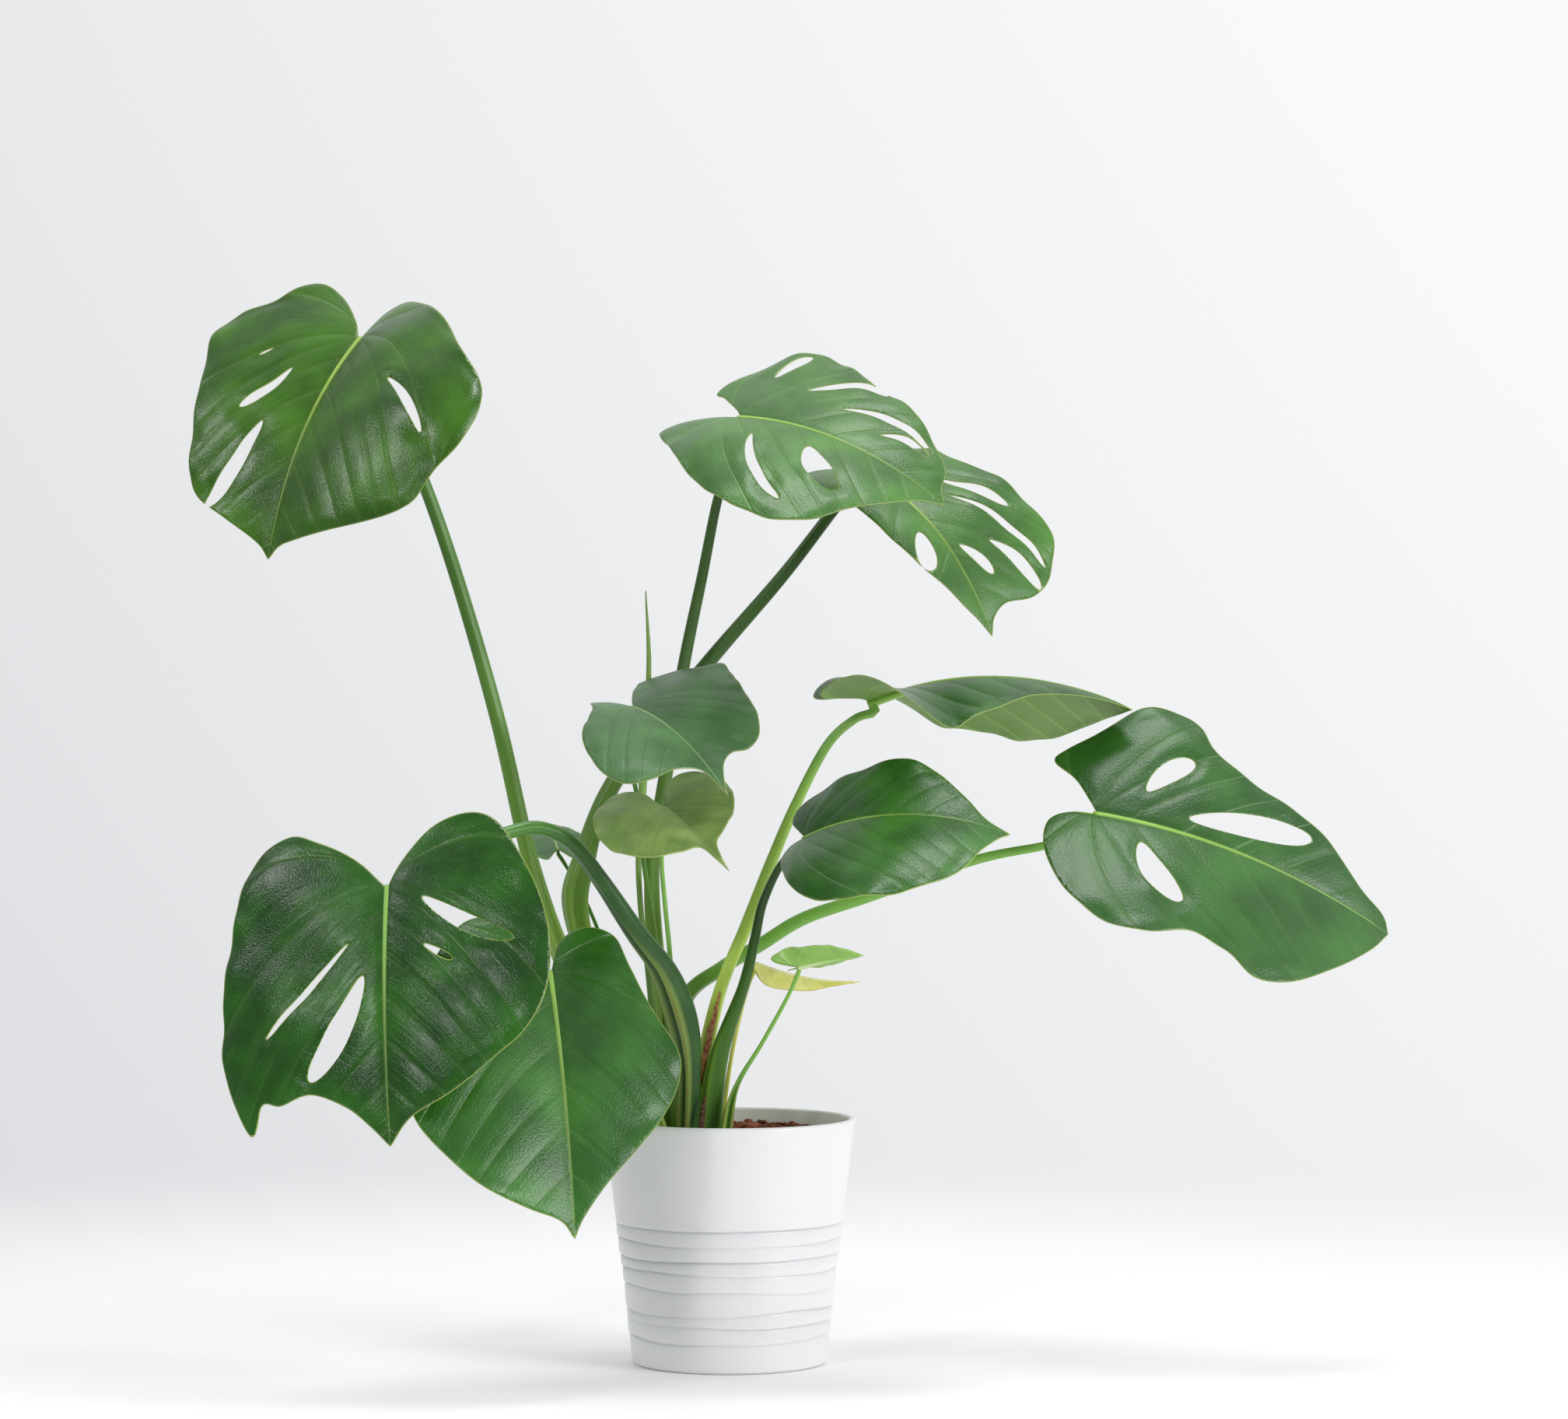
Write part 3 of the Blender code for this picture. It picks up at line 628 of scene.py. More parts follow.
LEAVES = (
    Leaf(
        "high_left", (-0.246, -0.050, 0.687), 0.172, -129, -42, -5, 40, (16, 16), (40, 25),
        ((-0.15, 0.02), (-0.22, 0.12), (-0.09, 0.39), (0.07, 0.58), (0.20, 0.74), (0.32, 0.81),
         (0.48, 0.80), (0.66, 0.72), (0.77, 0.66), (0.85, 0.46), (0.92, 0.17), (0.95, 0.06)),
        ((-0.09, 0.07), (-0.21, 0.22), (-0.25, 0.38), (-0.12, 0.49), (-0.03, 0.60), (0.10, 0.64),
         (0.28, 0.57), (0.50, 0.50), (0.70, 0.43), (0.79, 0.37), (0.86, 0.22), (0.94, 0.06)),
        (((0.13, -0.32), (0.17, -0.36), 0.012, 0.0), ((0.21, -0.18), (0.42, -0.31), 0.045, 0.02),
         ((0.46, -0.19), (0.83, -0.32), 0.070, 0.02), ((0.25, 0.34), (0.48, 0.62), 0.035, 0.02)),
        ((-0.057, 0.027, 0), (-0.092, 0.034, 0.220), (-0.118, 0.030, 0.277), (-0.137, 0.025, 0.341),
         (-0.158, 0.020, 0.434), (-0.186, 0.015, 0.532), (-0.210, 0.004, 0.602),
         (-0.232, -0.018, 0.652)),
        (0.0058, 0.0054, 0.0040), Growth.HIGH,
    ),
    Leaf(
        "top", (0.007, 0.000, 0.639), 0.166, -34, -4, 25, 42, (8, 8), (15, 40),
        ((-0.05, 0.05), (-0.17, 0.15), (-0.24, 0.20), (-0.22, 0.32), (-0.16, 0.46), (-0.11, 0.55),
         (-0.03, 0.58), (0.08, 0.57), (0.25, 0.49), (0.40, 0.41), (0.54, 0.38), (0.66, 0.33),
         (0.80, 0.24), (0.90, 0.15), (0.94, 0.06)),
        ((-0.10, 0.02), (-0.26, 0.06), (-0.30, 0.16), (-0.15, 0.32), (0.06, 0.51), (0.28, 0.63),
         (0.46, 0.65), (0.58, 0.63), (0.69, 0.54), (0.76, 0.40), (0.84, 0.27), (0.92, 0.10)),
        (((-0.05, 0.36), (0.01, 0.55), 0.085, 0.0), ((0.17, 0.26), (0.47, 0.39), 0.055, 0.04),
         ((0.38, 0.18), (0.80, 0.20), 0.045, 0.05), ((0.59, 0.13), (0.80, 0.16), 0.045, 0.03),
         ((0.18, -0.19), (0.52, -0.53), 0.045, -0.05), ((0.42, -0.15), (0.66, -0.34), 0.110, -0.02)),
        ((-0.034, 0.038, 0), (-0.048, 0.033, 0.240), (-0.053, 0.030, 0.293), (-0.053, 0.030, 0.340),
         (-0.046, 0.031, 0.383), (-0.032, 0.035, 0.469), (-0.019, 0.034, 0.532),
         (-0.007, 0.022, 0.589)),
        (0.0050, 0.0050, 0.0028), Growth.FULL,
    ),
    Leaf(
        "top_right", (0.089, 0.060, 0.605), 0.170, -50, -15, 15, 64, (5, 5), (10, 50),
        ((-0.10, 0.05), (-0.18, 0.17), (-0.12, 0.30), (0.02, 0.35), (0.14, 0.36), (0.26, 0.41),
         (0.40, 0.45), (0.54, 0.47), (0.68, 0.47), (0.78, 0.42), (0.86, 0.35), (0.90, 0.25),
         (0.89, 0.12), (0.93, 0.04)),
        ((-0.09, 0.05), (-0.17, 0.15), (-0.08, 0.23), (0.12, 0.25), (0.32, 0.22), (0.50, 0.21),
         (0.62, 0.18), (0.76, 0.12), (0.85, 0.08), (0.92, 0.04)),
        (((0.49, -0.08), (0.67, -0.15), 0.085, 0.0), ((0.60, 0.05), (0.76, 0.12), 0.050, 0.01),
         ((0.24, 0.21), (0.50, 0.37), 0.060, 0.0), ((0.36, 0.17), (0.80, 0.37), 0.035, 0.03),
         ((0.62, 0.19), (0.88, 0.30), 0.060, 0.02)),
        ((-0.048, 0.045, 0), (-0.082, 0.052, 0.220), (-0.107, 0.050, 0.298), (-0.101, 0.050, 0.338),
         (-0.078, 0.053, 0.394), (-0.018, 0.062, 0.470), (0.036, 0.068, 0.533),
         (0.074, 0.070, 0.582)),
        (0.0055, 0.0062, 0.0036), Growth.FULL,
    ),
    Leaf(
        "small_centre", (-0.064, -0.050, 0.443), 0.122, -56, -10, 12, 40, (12, 12), (15, 45),
        ((-0.13, 0.08), (-0.27, 0.19), (-0.40, 0.34), (-0.38, 0.45), (-0.24, 0.56), (-0.10, 0.66),
         (0.05, 0.62), (0.24, 0.55), (0.50, 0.47), (0.68, 0.38), (0.75, 0.27), (0.74, 0.17),
         (0.79, 0.09), (0.90, 0.03)),
        ((-0.10, 0.01), (-0.22, 0.04), (-0.24, 0.12), (-0.04, 0.23), (0.10, 0.35), (0.27, 0.49),
         (0.47, 0.56), (0.63, 0.57), (0.75, 0.50), (0.78, 0.36), (0.76, 0.20), (0.79, 0.06),
         (0.90, 0.02)),
        (),
        ((-0.038, 0.010, 0), (-0.042, 0.014, 0.225), (-0.051, 0.014, 0.289), (-0.058, 0.008, 0.336),
         (-0.062, 0.000, 0.379), (-0.068, -0.024, 0.415)),
        (0.0022, 0.0018, 0.0015), Growth.GREY,
    ),
    Leaf(
        "small_low", (-0.042, -0.060, 0.376), 0.092, -60, -20, 15, 12, (12, 12), (20, 40),
        ((-0.15, 0.06), (-0.28, 0.15), (-0.36, 0.30), (-0.31, 0.43), (-0.19, 0.49), (0.00, 0.50),
         (0.20, 0.46), (0.40, 0.35), (0.57, 0.18), (0.66, 0.08), (0.82, 0.03)),
        ((-0.10, 0.02), (-0.28, 0.02), (-0.38, 0.12), (-0.34, 0.28), (-0.23, 0.43), (-0.04, 0.56),
         (0.15, 0.62), (0.33, 0.62), (0.52, 0.55), (0.65, 0.40), (0.68, 0.22), (0.66, 0.06),
         (0.82, 0.02)),
        (),
        ((-0.033, 0.002, 0), (-0.039, -0.008, 0.261), (-0.043, -0.022, 0.310),
         (-0.045, -0.034, 0.342)),
        (0.0022, 0.0018, 0.0015), Growth.OLIVE,
    ),
    Leaf(
        "right_flat", (0.095, 0.026, 0.447), 0.186, 2, 23, 0, 50, (31, -20), (45, 45),
        ((-0.03, 0.05), (-0.08, 0.10), (-0.14, 0.18), (-0.16, 0.26), (-0.09, 0.33), (0.08, 0.36),
         (0.28, 0.38), (0.48, 0.43), (0.68, 0.45), (0.84, 0.35), (0.95, 0.14)),
        ((-0.03, 0.05), (-0.08, 0.10), (-0.14, 0.17), (-0.15, 0.25), (-0.08, 0.31), (0.05, 0.34),
         (0.18, 0.37), (0.30, 0.36), (0.46, 0.27), (0.64, 0.15), (0.85, 0.05)),
        (),
        ((-0.022, 0.013, 0), (-0.017, 0.014, 0.197), (-0.006, 0.016, 0.251), (0.011, 0.018, 0.293),
         (0.027, 0.021, 0.334), (0.044, 0.024, 0.374), (0.066, 0.026, 0.416),
         (0.085, 0.026, 0.434)),
        (0.0038, 0.0044, 0.0028), Growth.COOL,
    ),
    Leaf(
        "right_mid", (0.050, -0.050, 0.356), 0.146, -32, 24, 40, 58, (8, 8), (15, 25),
        ((-0.04, 0.06), (-0.09, 0.15), (-0.07, 0.23), (0.04, 0.29), (0.25, 0.34), (0.43, 0.37),
         (0.56, 0.33), (0.68, 0.23), (0.78, 0.13), (0.88, 0.04)),
        ((-0.07, 0.02), (-0.10, 0.10), (-0.06, 0.23), (0.04, 0.42), (0.16, 0.55), (0.32, 0.61),
         (0.50, 0.60), (0.68, 0.52), (0.82, 0.37), (0.89, 0.20), (0.95, 0.07)),
        (),
        ((-0.013, -0.003, 0), (-0.006, -0.005, 0.206), (0.010, -0.010, 0.256),
         (0.017, -0.013, 0.286), (0.023, -0.018, 0.312), (0.037, -0.036, 0.340)),
        (0.0070, 0.0040, 0.0021), Growth.MIDDLE,
    ),
    Leaf(
        "far_right", (0.248, 0.000, 0.371), 0.218, -15, -9, 45, 40, (6, 6), (15, 15),
        ((-0.04, 0.05), (-0.10, 0.12), (-0.18, 0.18), (-0.15, 0.24), (-0.04, 0.37), (0.05, 0.45),
         (0.16, 0.46), (0.23, 0.42), (0.29, 0.35), (0.40, 0.29), (0.58, 0.24), (0.72, 0.18),
         (0.86, 0.09), (0.96, 0.05)),
        ((-0.08, 0.01), (-0.14, 0.07), (-0.11, 0.21), (0.00, 0.36), (0.14, 0.44), (0.27, 0.44),
         (0.39, 0.38), (0.50, 0.40), (0.61, 0.45), (0.73, 0.40), (0.85, 0.26), (0.95, 0.11)),
        (((0.13, 0.12), (0.24, 0.28), 0.070, 0.01), ((0.28, 0.06), (0.66, 0.16), 0.090, 0.0),
         ((0.16, -0.09), (0.33, -0.28), 0.085, -0.02)),
        ((-0.042, 0.023, 0), (-0.042, 0.023, 0.204), (-0.030, 0.025, 0.245), (-0.006, 0.031, 0.264),
         (0.021, 0.037, 0.280), (0.051, 0.038, 0.298), (0.095, 0.035, 0.313), (0.167, 0.027, 0.338),
         (0.214, 0.020, 0.348), (0.236, 0.010, 0.356)),
        (0.0052, 0.0046, 0.0024), Growth.COOL,
    ),
    Leaf(
        "low_left", (-0.220, -0.140, 0.326), 0.172, -91, -62, 14, 22, (6, 6), (35, 35),
        ((-0.12, 0.07), (-0.23, 0.17), (-0.28, 0.31), (-0.24, 0.42), (-0.09, 0.52), (0.11, 0.61),
         (0.32, 0.64), (0.49, 0.61), (0.62, 0.53), (0.72, 0.40), (0.82, 0.25), (0.90, 0.09)),
        ((-0.12, 0.12), (-0.22, 0.28), (-0.27, 0.42), (-0.16, 0.57), (0.11, 0.64), (0.40, 0.67),
         (0.68, 0.66), (0.91, 0.56), (0.80, 0.50), (0.81, 0.42), (0.78, 0.30), (0.84, 0.16),
         (0.92, 0.07)),
        (((0.06, 0.15), (0.25, 0.50), 0.065, -0.02), ((0.25, 0.16), (0.32, 0.27), 0.025, 0.0),
         ((0.22, -0.14), (0.55, -0.47), 0.028, 0.0), ((0.35, -0.08), (0.73, -0.30), 0.090, 0.02)),
        ((-0.026, -0.013, 0), (-0.025, -0.014, 0.201), (-0.029, -0.018, 0.233),
         (-0.041, -0.026, 0.265), (-0.061, -0.038, 0.292), (-0.084, -0.050, 0.326),
         (-0.103, -0.062, 0.351), (-0.123, -0.074, 0.362), (-0.143, -0.086, 0.360),
         (-0.180, -0.108, 0.347), (-0.208, -0.124, 0.334)),
        (0.0060, 0.0058, 0.0033), Growth.DEEP,
    ),
    Leaf(
        "low_centre", (-0.116, -0.100, 0.268), 0.186, -75, -55, -6, 15, (10, 10), (40, 40),
        ((-0.13, 0.05), (-0.19, 0.15), (-0.15, 0.26), (-0.02, 0.30), (0.13, 0.35), (0.27, 0.42),
         (0.40, 0.43), (0.54, 0.36), (0.66, 0.26), (0.80, 0.13), (0.92, 0.04)),
        ((-0.12, 0.04), (-0.21, 0.13), (-0.20, 0.28), (-0.07, 0.40), (0.11, 0.49), (0.30, 0.54),
         (0.47, 0.56), (0.60, 0.54), (0.72, 0.44), (0.83, 0.33), (0.90, 0.17), (0.94, 0.05)),
        (),
        ((-0.043, -0.032, 0), (-0.058, -0.042, 0.190), (-0.082, -0.056, 0.228),
         (-0.103, -0.080, 0.252)),
        (0.0042, 0.0036, 0.0030), Growth.MIDDLE,
    ),
    Leaf(
        "small_right", (0.0465, -0.018, 0.2676), 0.045, -6, 16, -28, 12, (28, 16), (10, 10),
        ((-0.08, 0.06), (-0.18, 0.12), (-0.15, 0.24), (0.05, 0.32), (0.40, 0.34), (0.75, 0.22)),
        ((-0.10, 0.06), (-0.28, 0.19), (-0.33, 0.31), (-0.15, 0.39), (0.10, 0.41), (0.45, 0.37),
         (0.75, 0.21)),
        (),
        ((-0.003, -0.014, 0), (0.004, -0.014, 0.185), (0.0225, -0.016, 0.217),
         (0.039, -0.018, 0.247)),
        (0.0024, 0.0015, 0.0013), Growth.YOUNG,
    ),
    Leaf(
        "yellow", (0.0190, 0.010, 0.2690), 0.071, -4, -24, 0, -28, (-16, -66), (10, 10),
        ((-0.03, 0.06), (-0.02, 0.13), (0.12, 0.20), (0.34, 0.16), (0.55, 0.12), (0.72, 0.06), (0.86, 0.03)),
        (), (),
        ((-0.007, 0.018, 0), (0.001, 0.015, 0.204), (0.0105, 0.011, 0.246)),
        (0.0018, 0.0014, 0.0011), Growth.FADING,
    ),
    Leaf(
        "behind", (-0.120, 0.080, 0.344), 0.046, 105, 32, 0, 20, (8, 8), (20, 20),
        ((-0.12, 0.08), (-0.28, 0.22), (-0.14, 0.42), (0.15, 0.48), (0.50, 0.38), (0.80, 0.16)),
        (), (),
        ((-0.038, 0.054, 0), (-0.072, 0.066, 0.238), (-0.0925, 0.072, 0.290),
         (-0.1035, 0.078, 0.314), (-0.115, 0.083, 0.333)),
        (0.0018, 0.0014, 0.0012), Growth.GREY,
    ),
)

BLADE_FINISHES = {Growth(finish.name): finish for finish in (
    BladeFinish(
        "high", light=tint(70, 124, 14), dark=tint(34, 78, 3), vein=tint(166, 200, 90),
        back=tint(104, 134, 54), edge=tint(150, 172, 84), roughness=0.22, specular=0.40,
    ),
    BladeFinish(
        "full", light=tint(76, 134, 40), dark=tint(42, 92, 20), vein=tint(156, 194, 84),
        back=tint(108, 138, 64), edge=tint(160, 180, 96), roughness=0.36,
    ),
    BladeFinish(
        "cool", light=tint(54, 112, 30), dark=tint(26, 76, 16), vein=tint(150, 196, 84),
        back=tint(126, 158, 80), edge=tint(160, 180, 96), roughness=0.36,
    ),
    BladeFinish(
        "deep", light=tint(44, 108, 14), dark=tint(12, 56, 3), vein=tint(148, 194, 92),
        back=tint(94, 122, 54), edge=tint(178, 194, 96), roughness=0.17, specular=0.42, streaks=1.2,
    ),
    BladeFinish(
        "middle", light=tint(60, 122, 32), dark=tint(26, 78, 14), vein=tint(150, 190, 88),
        back=tint(98, 128, 58), edge=tint(170, 190, 100), roughness=0.26, specular=0.45,
    ),
    BladeFinish(
        "grey", light=tint(72, 126, 58), dark=tint(42, 88, 34), vein=tint(140, 172, 104),
        back=tint(116, 142, 84), edge=tint(156, 172, 96), roughness=0.44, vein_show=0.06,
    ),
    BladeFinish(
        "olive", light=tint(156, 184, 100), dark=tint(104, 138, 60), vein=tint(156, 178, 112),
        back=tint(126, 148, 84), edge=tint(176, 188, 110), roughness=0.46, vein_show=0.06,
    ),
    BladeFinish(
        "young", light=tint(140, 196, 84), dark=tint(104, 164, 58), vein=tint(214, 232, 176),
        back=tint(158, 208, 106), edge=tint(176, 200, 110), roughness=0.36, vein_show=0.3,
    ),
    BladeFinish(
        "fading", light=tint(250, 248, 158), dark=tint(224, 220, 98), vein=tint(238, 234, 176),
        back=tint(250, 246, 170), edge=tint(222, 206, 96), roughness=0.40, vein_show=0.2,
    ),
)}


class Blade:
    """A leaf's blade, with its relief, its midrib and its pale edge.

    CELL is how far apart its points are and WALL how thick it is, in metres. VEIN_PITCH and LOBE_PITCH
    are the gaps between side veins, in leaf lengths along the midrib and in radians round the lobe.
    DEPTH is how far the flesh stands up between two veins on a leaf of USUAL length, in metres; DEPTHS
    has it for kinds that differ. SWELL and FRILL are how far the face and the margin wave, in leaf
    lengths. No half is wider than HALF and no lobe reaches further back than LOBES, in leaf lengths.
    RIB_POINTS is how many points the midrib has, and SUNK how far it lies below the face, in rib radii.
    """

    CELL = 0.0019
    WALL = 0.00065
    VEIN_PITCH = 0.165
    LOBE_PITCH = 0.42
    USUAL = 0.17
    DEPTH = 0.0006
    SWELL = 0.007
    FRILL = 0.006
    HALF = 0.85
    LOBES = 0.42
    RIB_POINTS = 60
    SUNK = 0.72
    SLOTS = {Growth.FADING: "yellow_blade"}
    DEPTHS = {
        Growth.DEEP: 0.0009, Growth.MIDDLE: 0.0004, Growth.GREY: 0.0004, Growth.OLIVE: 0.0004,
        Growth.YOUNG: 0.0002, Growth.FADING: 0.0002,
    }

    def __init__(self, leaf: Leaf) -> None:
        """Sets out the blade of a leaf.

        Args:
            leaf: The leaf's shape and place.
        """
        self.leaf = leaf
        self.growth = leaf.growth
        self.shift = np.zeros(3)
        seed = sum(ord(letter) * place for place, letter in enumerate(leaf.name, 3))
        self.phases = np.random.default_rng(seed).uniform(0, math.tau, 6)

    def hole(self, start: tuple, end: tuple, width: float, bow: float, points: int = 44) -> np.ndarray:
        """Outlines a hole, a long oval about a bowed line that is fuller towards the margin.

        Args:
            start: The inner end, as (u, v).
            end: The outer end.
            width: The greatest width.
            bow: How far the middle line is bowed.
            points: How many points the outline gets.

        Returns:
            The outline, clockwise.
        """
        start, end = np.array(start), np.array(end)
        side = np.array((start[1] - end[1], end[0] - start[0])) / np.linalg.norm(end - start)
        angle = -math.tau * np.arange(points) / points
        t = 0.5 - 0.5 * np.cos(angle)
        half = 0.5 * width * np.sin(angle) * (0.75 + 0.5 * t)
        return start + np.outer(t, end - start) + np.outer(half + 4 * bow * t * (1 - t), side)

    def vein_count(self, u: np.ndarray, v: np.ndarray) -> np.ndarray:
        """Numbers the side veins, which leave the midrib evenly and fan out into the lobes.

        Args:
            u: Places along the midrib.
            v: Places across it.

        Returns:
            A value that is whole on each vein.
        """
        away = np.abs(v)
        start = u - 0.75 * away - away**2
        fan = np.arctan2(start, away + 0.02) / self.LOBE_PITCH
        return np.where(start > 0, start / self.VEIN_PITCH, fan) + 0.35

    def relief(self, u: np.ndarray, v: np.ndarray, rim: np.ndarray) -> np.ndarray:
        """Works out how far the surface stands above the plain blade.

        Args:
            u: Places along the midrib.
            v: Places across it.
            rim: The way in from the nearest margin, in metres.

        Returns:
            The heights, in metres.
        """
        away = np.abs(v)
        depth = self.DEPTHS.get(self.growth, self.DEPTH) * self.leaf.length / self.USUAL
        puffs = np.abs(np.sin(math.pi * self.vein_count(u, v))) ** 0.7
        quilt = depth * puffs * ease(0.01, 0.10, away) * ease(0.0, 0.009, rim)
        groove = -1.3 * depth * np.exp(-((away / 0.016) ** 2)) * ease(1.0, 0.7, u)
        a, b, c, d, e, f = self.phases
        swell = np.sin(9 * u + a) * np.sin(7 * v + b) + 0.6 * np.sin(15 * u + c) * np.cos(12 * v + d)
        frill = np.sin(21 * u + 6 * v + e) + 0.5 * np.sin(37 * u - 9 * v + f)
        loose = self.SWELL * swell * ease(0.03, 0.3, away)
        loose += self.FRILL * frill * ease(0.014, 0.0, rim) * ease(0.05, 0.3, away)
        return quilt + groove + self.leaf.length * loose

    def place(self, u: np.ndarray, v: np.ndarray, lift: np.ndarray) -> np.ndarray:
        """Bends flat points into their places.

        Args:
            u: Places along the midrib.
            v: Places across it.
            lift: Heights above the blade, in metres.

        Returns:
            The points in space.
        """
        leaf = self.leaf
        along, left, up = leaf.axes()
        droop = -math.radians(leaf.droop)
        forward, rise = arc(0.0, droop, u)
        middle = np.array(leaf.at) + leaf.length * (np.outer(forward, along) + np.outer(rise, up))
        face = np.outer(np.cos(droop * u), up) - np.outer(np.sin(droop * u), along)
        curl = -np.radians(np.where(v >= 0, *leaf.curls))
        lobe_fold, body_fold = np.radians(leaf.folds)
        fold = lobe_fold + (body_fold - lobe_fold) * ease(-0.1, 0.3, u)
        out, high = arc(fold, curl, np.abs(v))
        turned = fold + curl * np.abs(v)
        rest = middle + leaf.length * (np.outer(np.sign(v) * out, left) + high[:, None] * face)
        normal = np.cos(turned)[:, None] * face - np.outer(np.sign(v) * np.sin(turned), left)
        return rest + lift[:, None] * normal + self.shift

    def flat(self) -> tuple[np.ndarray, list, np.ndarray]:
        """Fills the outline, less the holes, with small triangles.

        Returns:
            The points (u, v), the triangles, and each point's way in from the margin, in metres.
        """
        leaf = self.leaf
        left = smooth_line([(0, 0), *leaf.left, (1, 0)], 16)
        right = smooth_line([(0, 0), *(leaf.right or leaf.left), (1, 0)], 16) * (1, -1)
        loops = [even_line(np.vstack([right, left[-2::-1]]), 0.6 * self.CELL / leaf.length)[:-1]]
        loops += [self.hole(*hole) for hole in leaf.holes]
        margin = np.vstack(loops)
        tree = kdtree.KDTree(len(margin))
        for number, point in enumerate(margin):
            tree.insert((*point, 0), number)
        tree.balance()
        cell = self.CELL / leaf.length
        rows = np.arange(round(-self.HALF / cell), round(self.HALF / cell))
        columns = np.arange(round(-self.LOBES / cell), round(1.0 / cell))
        grid = [(cell * (column + row % 2 / 2), cell * row * 0.87) for row in rows for column in columns]
        inner = [point for point in grid if tree.find((*point, 0))[2] > 0.55 * cell]
        points = [Vector(point) for point in np.vstack([margin, inner])]
        faces, first = [], 0
        for loop in loops:
            faces.append(list(range(first, first + len(loop))))
            first += len(loop)
        verts, _, triangles, _, _, owners = geometry.delaunay_2d_cdt(points, [], faces, 1, 1e-6, True)
        kept = [triangle for triangle, owner in zip(triangles, owners) if owner == [0]]
        used = sorted({corner for triangle in kept for corner in triangle})
        number = {old: new for new, old in enumerate(used)}
        flat = np.array([tuple(verts[old]) for old in used])
        rim = np.array([tree.find((*point, 0))[2] for point in flat]) * leaf.length
        return flat, [[number[corner] for corner in triangle] for triangle in kept], rim

    def build(self) -> Piece:
        """Builds the blade over its plain solid.

        Returns:
            The piece.
        """
        flat, triangles, rim = self.flat()
        u, v = flat.T
        plain = self.place(u, v, np.zeros(len(u)))
        low, high = (np.array(corner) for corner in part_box(f"leaf_{self.leaf.name}"))
        self.shift = (low + high) / 2 - (plain.min(axis=0) + plain.max(axis=0)) / 2
        places = self.place(u, v, self.relief(u, v, rim))
        mesh = bpy.data.meshes.new(f"blade_{self.leaf.name}")
        mesh.from_pydata(places.tolist(), [], triangles)
        corners = np.array(triangles).reshape(-1)
        mesh.uv_layers.new(name="leaf").data.foreach_set("uv", flat[corners].astype(np.float32).reshape(-1))
        for name, values in (("vein", self.vein_count(u, v)), ("rim", rim * 1000)):
            mesh.attributes.new(name, "FLOAT", "POINT").data.foreach_set("value", values.astype(np.float32))
        mesh.shade_smooth()
        piece = finished(mesh.name, mesh, [f"leaf_{self.leaf.name}"])
        wall = piece.modifiers.new("wall", "SOLIDIFY")
        wall.thickness = self.WALL
        wall.offset = -1
        wall.material_offset = 1
        wall.material_offset_rim = 2
        return piece

    def rib(self) -> Piece:
        """Builds the midrib that stands out of the blade's back, thick at the stalk.

        Returns:
            The piece.
        """
        u = np.linspace(-0.012, 0.95, self.RIB_POINTS)
        middle = np.zeros(self.RIB_POINTS)
        size = self.leaf.radii[2] * 0.95 * (1 - u) ** 0.8 + 0.00035
        path = self.place(u, middle, self.relief(u, middle, middle + 0.02) - size * self.SUNK)
        mesh = sweep(f"rib_{self.leaf.name}", path, lambda n, angle: np.full(len(angle), size[n]), 12)
        return finished(mesh.name, mesh, [])

    def dress(self, piece: Piece, rib: Piece, looks: "Wardrobe") -> None:
        """Puts the finishes on the blade and its rib.

        Args:
            piece: The blade.
            rib: The midrib.
            looks: The materials.
        """
        for material in looks.blade(self.growth):
            piece.data.materials.append(material)
        rib.data.materials.append(looks.rib(self.growth))


def arc(start: np.ndarray | float, bend: np.ndarray | float, distance: np.ndarray) -> tuple:
    """Follows a line that starts at an angle and bends evenly.

    Args:
        start: The angle at the start.
        bend: How much it turns for each unit of distance.
        distance: How far along the line to go.

    Returns:
        How far along and how far up the line gets.
    """
    bend = np.where(np.abs(bend) < 1e-4, 1e-4, bend)
    end = start + bend * distance
    return (np.sin(end) - np.sin(start)) / bend, (np.cos(start) - np.cos(end)) / bend


